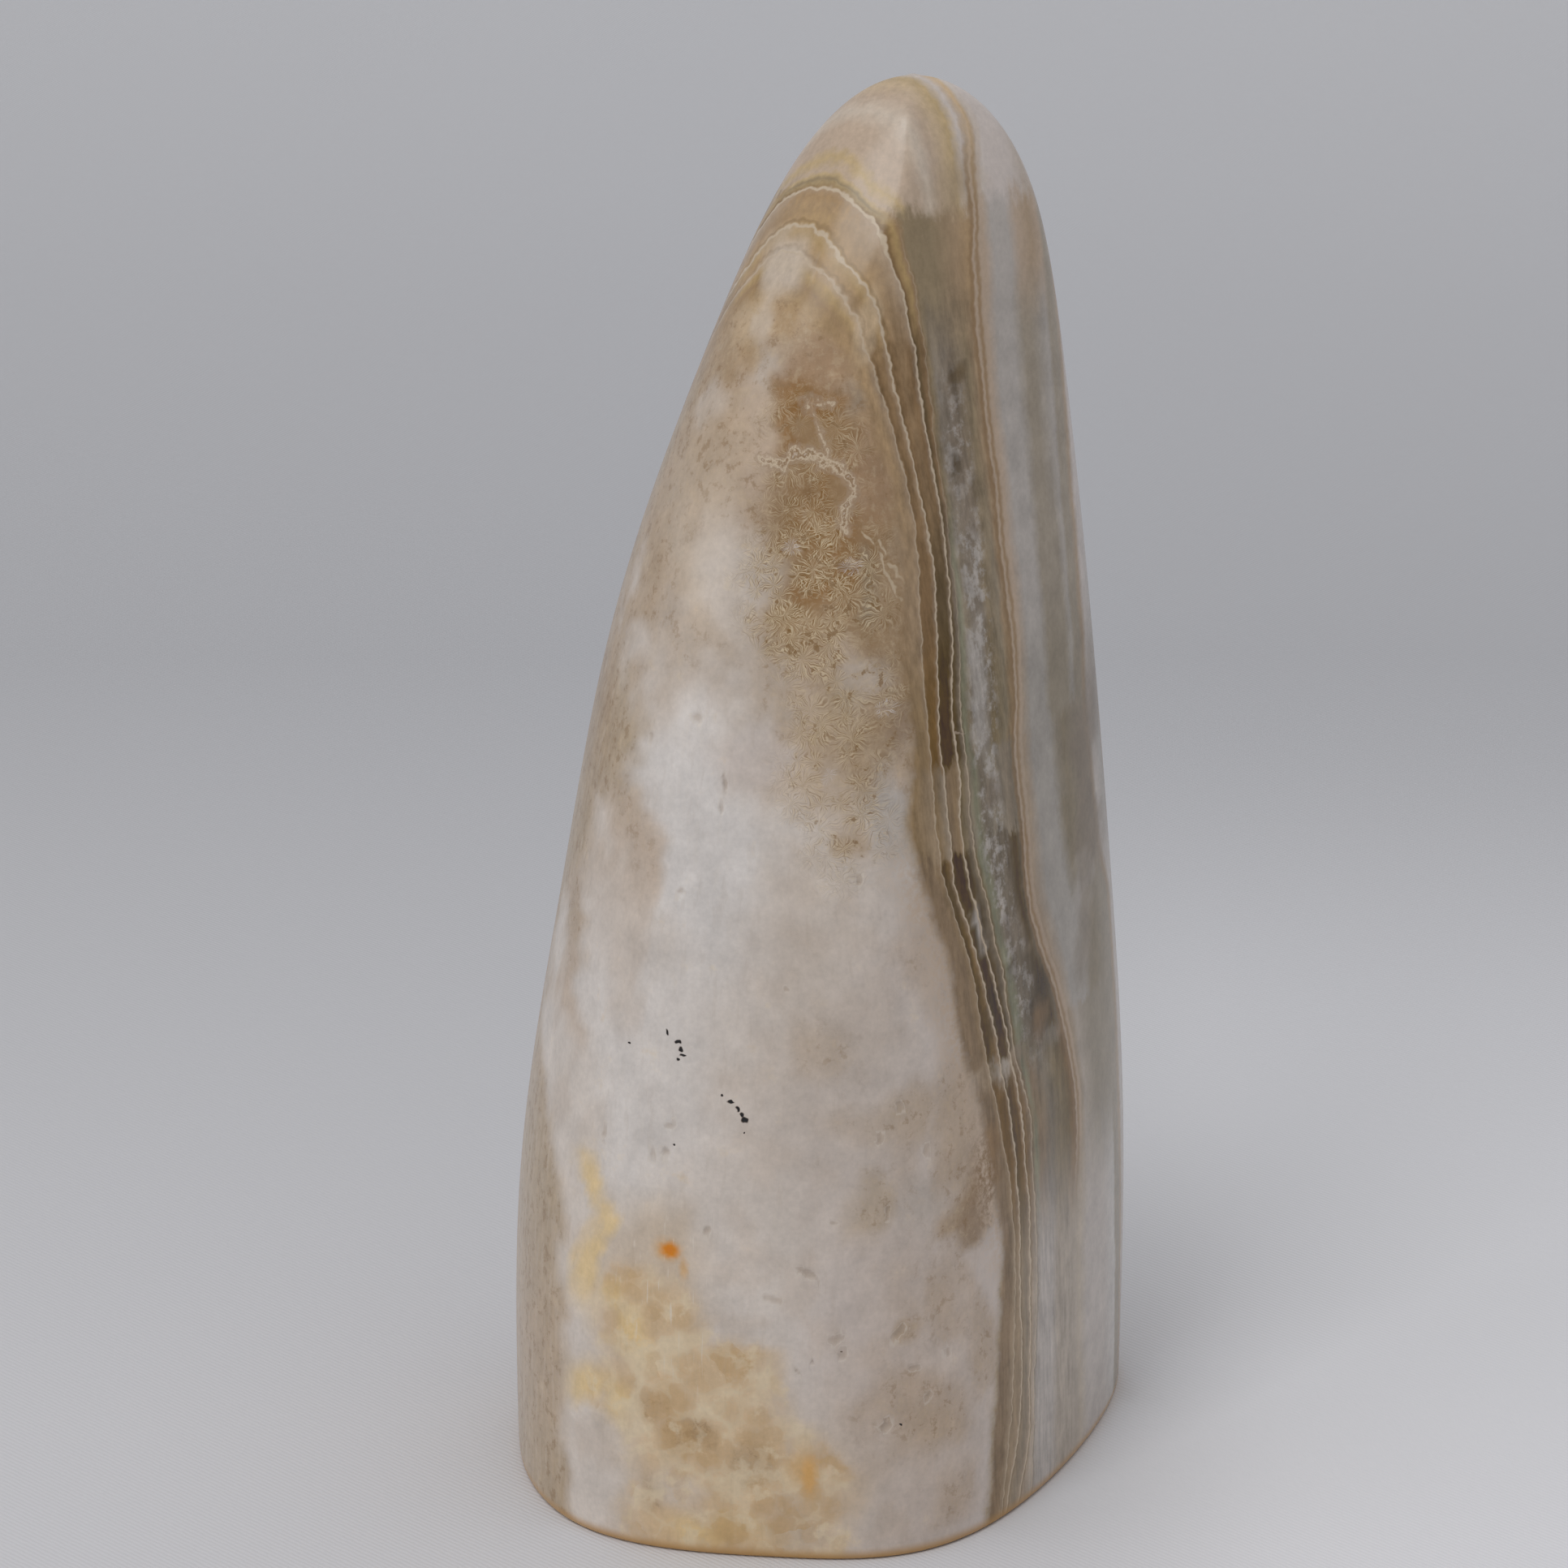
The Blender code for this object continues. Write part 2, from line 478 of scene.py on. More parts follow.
# x, z, reach across, reach up, lean in degrees, depth
PITS = (
    (-1.6, 26.8, 1.05, 0.36, -28, 0.40), (-10.2, 30.3, 0.42, 0.34, 20, 0.30),
    (-13.7, 36.8, 0.42, 0.38, 0, 0.32), (-14.8, 36.5, 0.36, 0.30, 30, 0.28),
    (-13.4, 39.1, 0.60, 0.26, 10, 0.20), (-19.1, 37.1, 0.30, 0.50, -20, 0.20),
    (0.9, 20.8, 0.75, 0.42, 15, 0.22), (1.4, 19.3, 0.50, 0.46, 0, 0.38), (-1.2, 18.8, 0.26, 0.24, 0, 0.22),
    (-2.5, 17.9, 0.45, 0.16, -45, 0.22), (6.3, 20.9, 0.85, 0.42, 38, 0.30),
    (5.2, 12.4, 0.62, 0.40, 15, 0.34), (7.6, 17.4, 0.75, 0.20, -5, 0.26), (2.8, 60.5, 0.40, 0.26, 0, 0.24),
    (-12.4, 59.1, 0.38, 0.26, 20, 0.20), (-19.2, 36.2, 0.26, 0.34, 0, 0.20),
    (-10.9, 73.6, 0.62, 0.50, 0, 0.22), (-8.6, 68.4, 0.22, 0.75, 8, 0.34),
    (-8.9, 66.3, 0.18, 0.45, 12, 0.26), (-3.4, 51.5, 0.36, 0.20, 0, 0.18),
    (-4.6, 24.4, 0.95, 0.42, -10, 0.14), (5.3, 32.1, 0.26, 0.42, -25, 0.24),
    (0.6, 31.3, 0.40, 0.18, 10, 0.18), (-14.9, 71.4, 0.34, 0.26, 0, 0.18),
    (8.9, 14.6, 0.50, 0.24, 20, 0.26), (10.6, 18.0, 0.30, 0.42, 10, 0.24),
    (4.6, 38.2, 0.42, 0.28, 20, 0.24), (8.6, 36.4, 0.34, 0.42, 0, 0.26),
    (6.2, 41.2, 0.46, 0.26, -15, 0.22), (-6.2, 62.9, 0.24, 0.20, 0, 0.16),
)


def met_from_front(skin, x, z):
    """Where the skin is met from the front at x and z, and which way it faces there."""
    return skin.ray_cast(Vector((x, RAY_START, z)) * MM, Vector((0.0, 1.0, 0.0)))[:2]


def press_pits(mesh, pits):
    skin = BVHTree.FromPolygons([v.co for v in mesh.vertices], [tuple(p.vertices) for p in mesh.polygons])
    bm = bmesh.new()
    bm.from_mesh(mesh)
    hollow = bm.verts.layers.float.new("hollow")
    for x, z, across, up, lean, depth in pits:
        centre, normal = met_from_front(skin, x, z)
        reach = (max(across, up) * PIT_ROUND + PIT_MARGIN) * MM
        edges = [e for e in bm.edges if all((v.co - centre).length < reach for v in e.verts)]
        bmesh.ops.subdivide_edges(bm, edges=edges, cuts=PIT_CUTS, use_grid_fill=True)
        right = Vector((0.0, 0.0, 1.0)).cross(normal).normalized()
        upward = normal.cross(right)
        turn = math.radians(lean)
        for vert in bm.verts:
            away = vert.co - centre
            if away.length > reach:
                continue
            u, v = away.dot(right) / MM, away.dot(upward) / MM
            u, v = u * math.cos(turn) + v * math.sin(turn), v * math.cos(turn) - u * math.sin(turn)
            ragged = noise.fractal(vert.co / MM * RAGGED_SCALE, *RAGGED_NOISE)
            far = math.hypot(u / across, v / up) * (1.0 + PIT_RAGGED * ragged)
            sunk = 1.0 - min(max((far - PIT_FLOOR) / PIT_WALL, 0.0), 1.0)
            sunk = sunk * sunk * (3.0 - 2.0 * sunk)
            vert.co -= normal * sunk * PIT_DEPTH * depth * MM
            vert[hollow] = max(vert[hollow], sunk)
    bmesh.ops.triangulate(bm, faces=[f for f in bm.faces if len(f.verts) > 4])
    bm.to_mesh(mesh)
    bm.free()
    mesh.shade_smooth()
    print("pits:", len(pits), "mesh:", len(mesh.vertices), "vertices")


press_pits(piece.data, PITS)
skin = BVHTree.FromObject(piece, bpy.context.evaluated_depsgraph_get())


def on_front(x, z):
    """The point of the skin, in millimetres, that is seen from the front at x and z."""
    return tuple(met_from_front(skin, x, z)[0] / MM)


# %% [markdown]
# ## Painting the ground
# The large colours of the stone, a millimetre and more across, could all be worked out in the
# shader, but that is slow. They are painted once, on the mesh's points, as a person would lay in
# a picture: a pale ground, then patch over patch. The crisp detail comes later, in the shader.

# %% Paint tools
# how finely a line is read, and over how many of those steps it is smoothed either way
LINE_STEPS = 200
LINE_SMOOTH = 6
# the pushes of the noise are the same on every run
NOISE_SEED = 53

noise.seed_set(NOISE_SEED)
points = read_points(piece.data)


def drift(where, size, octaves=2):
    """Smooth noise from about -1 to 1 at each point, its waves about size across."""
    return np.array([noise.fractal(Vector(p) / size, 1.0, 2.0, octaves) for p in where])


def wandered(where, size, reach):
    """The points moved by up to about reach, smoothly over size."""
    push = [noise.noise_vector(Vector(p) / size) for p in where]
    return where + reach * np.array(push)


def rise(value, start, end):
    """Goes smoothly from 0 at start to 1 at end."""
    t = np.clip((value - start) / (end - start), 0.0, 1.0)
    return t * t * (3.0 - 2.0 * t)


def patch(where, x, z, across, up, softness, depth=None):
    """A soft-edged egg-shaped patch on the front: 1 inside, 0 outside."""
    depth = depth or 1.5 * max(across, up)
    away = (where - on_front(x, z)) / (across, depth, up)
    return rise(np.linalg.norm(away, axis=1), 1.0 + softness, 1.0 - softness)


def lay(under, mask, over):
    """Lays a colour, or one colour for each point, over what is there."""
    return under + (np.asarray(colour_of(over)) - under) * mask[:, None]


def follow(value, line):
    """Reads a line given as pairs of place and height, smoothed a little."""
    places = np.linspace(line[0][0], line[-1][0], LINE_STEPS)
    heights = np.pad(np.interp(places, *zip(*line)), LINE_SMOOTH, mode="edge")
    window = np.hanning(2 * LINE_SMOOTH + 3)
    smooth = np.convolve(heights, window[1:-1] / window.sum(), "valid")
    return np.interp(value, places, smooth)


def store(name, values):
    """Keeps one number or one vector for each point, for the shader to read."""
    kind, field = ("FLOAT", "value") if values.ndim == 1 else ("FLOAT_VECTOR", "vector")
    attribute = piece.data.attributes.new(name, kind, "POINT")
    attribute.data.foreach_set(field, values.astype(np.float32).ravel())


soft_points = wandered(points, 8.0, 2.2)
rough_points = wandered(soft_points, 1.9, 0.9)
mottle = drift(points, 3.6, 3)
large = drift(points, 15.0, 1)
print("points to paint:", len(points))

# %% [markdown]
# ## The layers
# Aragonite of this kind grows in near-flat layers, one after another, on the wall of a vein.
# Here they stand upright and run back to the right, so each point's place across the layers
# says which layer it is in. Straight layers would look sawn, so seven lines bend them with height:
# the edge of growth, the four cream lines, the tan double line and the change behind it. The
# layer value rises evenly from each line to the next, from below 0 at the edge to 1 at the tan line.

# %% Layer values
LAYER_NORMAL = (0.625, 0.781, 0.0)
# the ripple of the layers: its reach and its size, in mm
RIPPLES = ((0.30, 4.5), (0.10, 1.6))
# how fast the layer value goes on in front of the edge and behind the outer line, for each mm
EDGE_SLOPE = 0.08
OUTER_SLOPE = 0.1
# each line's layer value, and how far back it lies, in mm, by height
LINES = {
    "edge": (-0.25, ((0, -6.9), (23, -3.2), (30, -3.6), (38, -4.9), (45, -7.0), (51, -7.3), (63, -10.4),
                     (67, -9.8), (70, -8.2), (79, -7.4), (87, -5.2), (101, -5.6), (112, -6.4))),
    "inner": (0.0, ((0, -5.2), (10, -2.9), (22, -1.3), (30, -1.4), (44, -4.3), (49, -4.6), (61, -7.7),
                    (79, -6.1), (87, -4.0), (101, -4.5), (104, -5.1), (110, -4.6))),
    "first": (0.12, ((0, -4.5), (10, -1.2), (28, -0.25), (36, -0.7), (50, -3.6), (59, -6.1), (70, -5.6),
                     (78, -4.3), (85, -2.7), (110, -3.6), (113, -3.1))),
    "second": (0.25, ((0, -2.6), (6, 0.1), (29, 1.35), (38, 0.7), (49, -1.8), (60, -4.4), (72, -3.4),
                      (86, -0.8), (105, -0.75), (112, -1.5), (114, -0.6))),
    "third": (0.37, ((0, 0.2), (20, 2.1), (35, 2.6), (41, 0.55), (49, -0.25), (60, -2.8), (70, -2.5),
                     (85, -0.3), (106, 0.6), (113, -0.1))),
    "tan": (1.0, ((0, 10.1), (18, 9.6), (25, 10.8), (33, 12.4), (42, 10.2), (53, 5.4), (67, 5.4), (76, 6.8),
                  (100, 7.3), (109, 7.7), (117, 9.4), (121, 11.1))),
    "outer": (1.7, ((0, 18.3), (40, 17.6), (49, 17.6), (54, 14.7), (66, 13.1), (74, 13.7), (124, 13.6))),
}

height = points[:, 2]
ripple = sum(reach * drift(points, size) for reach, size in RIPPLES)
depth_in = points @ np.array(LAYER_NORMAL) + ripple
values = {name: value for name, (value, _) in LINES.items()}
places = {name: follow(height, line) for name, (_, line) in LINES.items()}
away = {name: depth_in - place for name, place in places.items()}
level = values["edge"] + EDGE_SLOPE * away["edge"]
for name, following in zip(list(LINES), list(LINES)[1:]):
    share = away[name] / (places[following] - places[name])
    level = np.where(share > 0.0, values[name] + share * (values[following] - values[name]), level)
level = np.where(away["outer"] > 0.0, values["outer"] + OUTER_SLOPE * away["outer"], level)
store("layers", np.stack([level, away["third"], away["edge"]], axis=1))
store("lines", np.stack([away["inner"], away["first"], away["second"]], axis=1))
store("tan_line", away["tan"])
print("layer values from", round(level.min(), 2), "to", round(level.max(), 2))

# %% [markdown]
# ## The pale front
# In front of the first line the stone is one milky mass with crystals in it. Its colour is laid
# on from large to small: a white ground, a tan upper part, clouds over both, the weathered rind
# of the old outer skin on the left, and honey-coloured stone low down.

# %% Front colours
# the heights at which the sand, tan and gold of the upper part begin and are full
SAND_HEIGHTS = (64.0, 78.0)
TAN_HEIGHTS = (80.0, 92.0)
GOLD_HEIGHTS = (101.0, 108.0)
# painted shade: the darker milk lies over haze to the right of here, up to here, where the front turns from
# the light
SHADED_RIGHT = (-6.0, 6.0)
SHADED_HEIGHTS = (66.0, 50.0)
# clouds: x, z, reach across, reach up, softness, strength, colour
CLOUDS = (
    (0, 93, 5.5, 7.5, 0.4, 0.7, "caramel"), (0, 83, 6, 6.5, 0.5, 0.75, "tan"),
    (-4, 86, 3.5, 6, 0.6, 0.6, "khaki"), (5.2, 78.5, 2.2, 7, 0.5, 0.8, "caramel"),
    (-11, 62, 6, 14, 0.6, 0.7, "chalk"), (-15.5, 45, 5, 14, 0.6, 0.6, "chalk"),
    (-12.3, 64, 5, 9.5, 0.6, 0.9, "chalk"), (-7.5, 84.5, 3, 8.5, 0.5, 0.8, "shell"),
    (-6, 96, 2.4, 7, 0.5, 0.9, "wheat"), (-2.6, 96.8, 1.8, 1.8, 0.5, 0.85, "caramel"),
    (-1, 93, 2, 1.5, 0.5, 0.6, "tan"), (2.6, 93.5, 2.6, 3, 0.5, 0.8, "cocoa"),
    (3.4, 90, 2.6, 3, 0.5, 0.9, "caramel"), (1.9, 99.5, 1.6, 1.6, 0.5, 0.7, "fawn"),
    (-0.6, 87.5, 3.4, 3.2, 0.5, 0.8, "tan"), (1, 90, 1.2, 1.4, 0.4, 0.85, "caramel"),
    (0.6, 85.3, 1.6, 1, 0.3, 0.8, "caramel"), (3.5, 84.3, 1.7, 3, 0.35, 0.9, "moss"),
    (-1.2, 81, 4.2, 3.4, 0.5, 0.8, "tan"), (1.6, 79.6, 1.6, 1.6, 0.6, 0.8, "wheat"),
    (3.4, 76.3, 1.7, 3.2, 0.6, 0.8, "shell"), (-3.8, 77, 2, 2, 0.6, 0.7, "shell"),
    (0.6, 70.6, 4.4, 4.4, 0.6, 0.7, "sand"), (5, 66, 1.8, 4.5, 0.6, 0.8, "lilac"),
    (1.5, 64.2, 1.7, 1.2, 0.4, 0.8, "sand"), (-3, 57, 4, 5, 0.7, 0.4, "shell"),
    (-1.9, 46.5, 2.6, 2, 0.6, 0.8, "sand"), (2.6, 39.6, 3, 1.6, 0.6, 0.7, "wheat"),
    (7.4, 40.2, 3, 2.2, 0.5, 0.85, "sand"), (6.8, 36, 1.6, 3, 0.6, 0.5, "wheat"),
    (3.6, 32.7, 1.8, 2.4, 0.5, 0.85, "khaki"), (8.4, 32.5, 2.6, 3, 0.6, 0.7, "lilac"),
    (12.8, 29.4, 2, 1.9, 0.45, 0.95, "caramel"), (11.4, 29.6, 1.6, 1.2, 0.5, 0.8, "tan"),
    (11.8, 37, 2.2, 6, 0.5, 0.8, "sand"), (12, 25, 1.8, 2.2, 0.6, 0.5, "wheat"),
    (6.8, 20.7, 1.9, 1.2, 0.5, 0.8, "sand"), (10.2, 22.5, 1.5, 2.6, 0.6, 0.6, "sand"),
    (7, 13.6, 4.6, 2.2, 0.6, 0.8, "wheat"), (8.6, 10.6, 3.6, 2, 0.6, 0.8, "sand"),
    (11, 5, 2.8, 2.2, 0.6, 0.7, "wheat"), (-17.3, 60.5, 2.2, 8.5, 0.6, 0.7, "wheat"),
    (-16.8, 52, 1.3, 4.5, 0.6, 0.8, "wheat"), (-21.6, 55, 1.6, 7.5, 0.6, 0.8, "sand"),
    (-21.8, 46.5, 1.3, 3.5, 0.6, 0.7, "wheat"), (-13.5, 54, 3.5, 3, 0.7, 0.4, "shell"),
    (-11.2, 91.5, 1.7, 3.8, 0.5, 0.9, "tan"), (-10, 97.6, 1.9, 2.2, 0.45, 0.95, "shell"),
    (-8.6, 100.6, 0.9, 1.2, 0.4, 0.8, "tan"), (0.4, 102.6, 2.4, 1.7, 0.4, 0.9, "caramel"),
    (-1.8, 98.5, 2, 2.2, 0.5, 0.6, "tan"), (-3.9, 101.2, 2.2, 2.2, 0.5, 0.85, "shell"),
    (-4.2, 104.5, 1.6, 1.6, 0.5, 0.6, "wheat"), (-0.5, 106.5, 2.6, 1.6, 0.5, 0.8, "gold"),
    (-6.4, 103.5, 1.2, 2.4, 0.5, 0.7, "gold"), (-8.4, 94, 1.6, 4, 0.5, 0.7, "sand"),
    (5, 102, 1.2, 5, 0.5, 0.6, "gold"), (5.6, 92.5, 1.2, 4, 0.5, 0.8, "tan"),
    (6.6, 79, 1.3, 4, 0.5, 0.9, "caramel"), (7, 73, 1.2, 3.5, 0.5, 0.9, "cocoa"),
    (-5, 69.5, 3, 2.5, 0.6, 0.6, "wheat"), (-10.5, 88, 2.8, 8, 0.6, 0.75, "cream"),
    (-14, 79, 2, 6, 0.5, 0.6, "shell"), (-5.6, 109.5, 2, 3, 0.5, 0.7, "peach"),
    (2.9, 103.6, 1.8, 2.6, 0.5, 0.7, "wheat"), (-17.9, 70, 2.4, 5.5, 0.6, 0.85, "khaki"),
    (-16.8, 60, 1.6, 6, 0.6, 0.5, "wheat"), (-17.5, 50, 2.4, 8, 0.7, 0.5, "chalk"),
    (-17, 37, 2.2, 6, 0.7, 0.4, "chalk"), (8.5, 55.5, 1.8, 5, 0.6, 0.5, "wheat"),
    (-3.4, 99, 1.8, 2.6, 0.5, 0.5, "sand"), (-1.2, 88.5, 2.6, 2, 0.5, 0.7, "caramel"),
    (-2.6, 83.5, 2.4, 2.2, 0.5, 0.6, "caramel"), (1.4, 96.6, 2, 1.6, 0.5, 0.6, "caramel"),
    (-9, 58, 3.5, 7, 0.6, 0.5, "chalk"), (-5.6, 70.5, 3, 3, 0.6, 0.7, "milk"),
    (-1.6, 91.5, 2, 1.8, 0.5, 0.5, "umber"), (1.8, 84, 1.8, 2, 0.5, 0.7, "caramel"),
    (3.6, 80.6, 1.6, 1.8, 0.5, 0.7, "caramel"), (0.8, 75, 3, 2, 0.5, 0.6, "khaki"),
    (-3.4, 73.6, 2, 1.6, 0.5, 0.5, "sand"), (4.4, 71.5, 1.6, 3.6, 0.5, 0.7, "tan"),
    (8, 67, 1.4, 5, 0.5, 0.7, "wheat"), (-13.5, 31, 3, 4, 0.6, 0.4, "cream"),
    (-6.2, 107, 2.4, 4, 0.5, 0.7, "peach"), (-4.8, 106, 1.4, 2.4, 0.5, 0.6, "cream"),
    (-0.4, 102.2, 2.4, 2.4, 0.4, 0.85, "clay"), (-1.3, 99.0, 2.2, 2.2, 0.4, 0.9, "russet"),
    (-2.9, 96.0, 1.2, 1.6, 0.4, 0.85, "russet"), (0.3, 92.4, 1.4, 2.2, 0.4, 0.9, "russet"),
    (3.8, 94.0, 2.6, 4.6, 0.5, 0.8, "clay"), (-1.4, 89.4, 3.0, 2.4, 0.5, 0.9, "caramel"),
    (-2.6, 84.9, 2.2, 1.2, 0.4, 0.8, "russet"), (1.0, 86.2, 1.6, 1.0, 0.4, 0.8, "russet"),
    (5.8, 80.5, 1.2, 5.0, 0.5, 0.6, "tan"), (-3.4, 82.2, 2.4, 1.4, 0.5, 0.6, "gold"),
    (13.8, 31.8, 1.5, 2.6, 0.4, 0.9, "brown"), (13.5, 28.2, 1.3, 1.8, 0.4, 0.85, "caramel"),
    (13.2, 19.0, 1.2, 5.0, 0.5, 0.6, "sand"), (10.4, 44.5, 1.6, 4.5, 0.6, 0.5, "wheat"),
    (9.2, 50.5, 1.4, 3.5, 0.6, 0.5, "wheat"), (-1.5, 99.0, 2.6, 2.6, 0.5, 0.95, "russet"),
    (0.4, 89.8, 4.6, 6.0, 0.6, 0.7, "russet"), (4.6, 102.8, 1.4, 3.4, 0.5, 0.85, "wheat"),
    (0.5, 103.0, 2.6, 2.6, 0.4, 0.8, "clay"), (-1.3, 99.2, 1.5, 2.0, 0.4, 1.0, "russet"),
    (3.7, 92.6, 2.4, 3.6, 0.5, 0.75, "clay"), (7.5, 16.0, 7.0, 18.0, 0.7, 0.45, "wheat"),
    (1.0, 45.0, 8.0, 14.0, 0.7, 0.6, "shell"), (-9.5, 93.0, 2.5, 6.0, 0.6, 0.4, "sand"),
    (-1.5, 76.5, 2.5, 2.5, 0.6, 0.5, "wheat"), (-8.0, 84.5, 2.0, 5.0, 0.6, 0.5, "haze"),
    (14.2, 31.5, 1.8, 3.2, 0.5, 0.85, "brown"), (13.8, 28.6, 1.6, 2.2, 0.5, 0.8, "cocoa"),
)
# honey-coloured stone and yellow stains: x, z, reach across, reach up
HONEY_FIELDS = ((-15.0, 21.0, 4.5, 5.0), (-12.0, 15.0, 8.0, 6.0), (-8.0, 8.5, 9.5, 6.0),
                (-9.0, 3.0, 9.0, 4.5), (-9.5, 18.5, 5.0, 3.0))
PEACH_FIELD = (-15.0, 27.5, 5.0, 5.0)
HONEY_DEPTH = 14.0
# where the crystals grow: strength, x, z, reach across, reach up, softness
CRYSTAL_FIELDS = ((1.0, -0.4, 84.0, 6.2, 7.5, 0.35), (0.55, 1.6, 72.5, 5.4, 12.0, 0.4),
                  (0.5, -1.2, 94.5, 4.5, 5.0, 0.4))
CRYSTAL_DEPTH = 12.0
# darker and paler clouds in the honey: x, z, reach across, reach up, strength, colour
HONEY_CLOUDS = ((-11.5, 10.4, 2.3, 1.7, 0.7, "gold"), (-6.4, 8.6, 2.0, 2.4, 0.6, "gold"),
                (-14.4, 12.8, 1.4, 2.0, 0.6, "gold"), (-14.6, 5.0, 1.8, 1.4, 0.6, "gold"),
                (-17.4, 19.6, 1.6, 2.2, 0.5, "peach"), (-12.4, 5.6, 3.0, 1.6, 0.6, "haze"),
                (-3.6, 3.2, 2.2, 2.0, 0.6, "cream"), (-2.4, 9.6, 1.2, 2.0, 0.6, "cream"))
YELLOWS = ((-20.4, 33.0, 0.9, 2.4), (-20.4, 25.5, 1.1, 4.0), (-20.6, 14.6, 2.4, 2.2), (-19.4, 30.0, 0.7, 1.4),
           (-16.6, 19.5, 1.2, 2.0), (-17.4, 12.5, 0.9, 2.5), (-9.0, 2.5, 4.0, 1.0), (-18.0, 22.5, 1.0, 1.2))
# the rind: how far to the left it begins, and its colour, by height
RIND_NORMAL = (-0.92, 0.39, 0.0)
RIND_EDGE = (-1.5, 1.6)
RIND_FRAY = 1.2
RIND_STRENGTH = 0.9
RIND_LINE = ((0, 13.2), (20, 14.2), (29, 14.8), (35, 17.2), (41, 21.5), (52, 20.5), (60, 15.5), (68, 12.7),
             (75, 13.2), (80, 15.5), (90, 13.4), (98, 9.2), (104, 7.2), (112, 6.2), (124, 6.2))
RIND_COLOURS = ((0, "khaki"), (14, "sand"), (30, "khaki"), (45, "sand"), (58, "khaki"), (72, "tan"),
                (80, "sand"), (92, "khaki"), (104, "tan"), (114, "gold"))


def paint_front():
    x = points[:, 0] + 9.0 * large
    paint = np.tile(COLOURS["haze"], (len(points), 1))
    # painted shade: the lower right of the front, which turns away from the light, is laid darker
    paint = lay(paint, rise(x, *SHADED_RIGHT) * rise(height, *SHADED_HEIGHTS), "milk")
    paint = lay(paint, 0.25 * rise(mottle, -0.1, 0.5), "wheat")
    rim = height + 0.5 * points[:, 0] + 7.0 * mottle
    paint = lay(paint, rise(rim, *SAND_HEIGHTS), "sand")
    paint = lay(paint, 0.6 * rise(rim, *TAN_HEIGHTS), "tan")
    paint = lay(paint, rise(height, *GOLD_HEIGHTS), "gold")
    for x, z, across, up, softness, strength, tint in CLOUDS:
        paint = lay(paint, strength * patch(rough_points, x, z, across, up, softness), tint)
    return paint


def honey_field():
    masks = [patch(rough_points, *field, 0.35, HONEY_DEPTH) for field in HONEY_FIELDS]
    return np.max(masks, axis=0)


def rind_mask():
    side = points @ np.array(RIND_NORMAL) + RIND_FRAY * mottle
    return RIND_STRENGTH * rise(side - follow(height, RIND_LINE), *RIND_EDGE)


honey = honey_field()
rind = rind_mask()
paint = lay(paint_front(), 0.5 * patch(rough_points, *PEACH_FIELD, 0.5, HONEY_DEPTH), "peach")
paint = lay(paint, 0.85 * honey, "honey")
for x, z, across, up, strength, tint in HONEY_CLOUDS:
    paint = lay(paint, strength * patch(rough_points, x, z, across, up, 0.4), tint)
for x, z, across, up in YELLOWS:
    paint = lay(paint, 0.85 * patch(rough_points, x, z, across, up, 0.6, 5.0), "yellow")
rind_heights, rind_names = zip(*RIND_COLOURS)
rind_tints = np.array([COLOURS[name] for name in rind_names])
rind_paint = np.stack([np.interp(height, rind_heights, tint) for tint in rind_tints.T], axis=1)
paint = lay(paint, rind, rind_paint)
behind = rise(points[:, 1], 3.0, 10.0)
paint = lay(paint, 0.75 * behind * rise(large, 0.0, 0.45), "shell")
paint = lay(paint, 0.6 * behind * rise(-large, 0.1, 0.5), "clay")
paint *= (1.0 + 0.07 * drift(points, 5.0) + 0.06 * drift(points, 1.7))[:, None]
store("paint", paint)
crystals = np.max([strength * patch(rough_points, *field, CRYSTAL_DEPTH)
                   for strength, *field in CRYSTAL_FIELDS], axis=0)
store("fields", np.stack([crystals, honey, rind], axis=1))

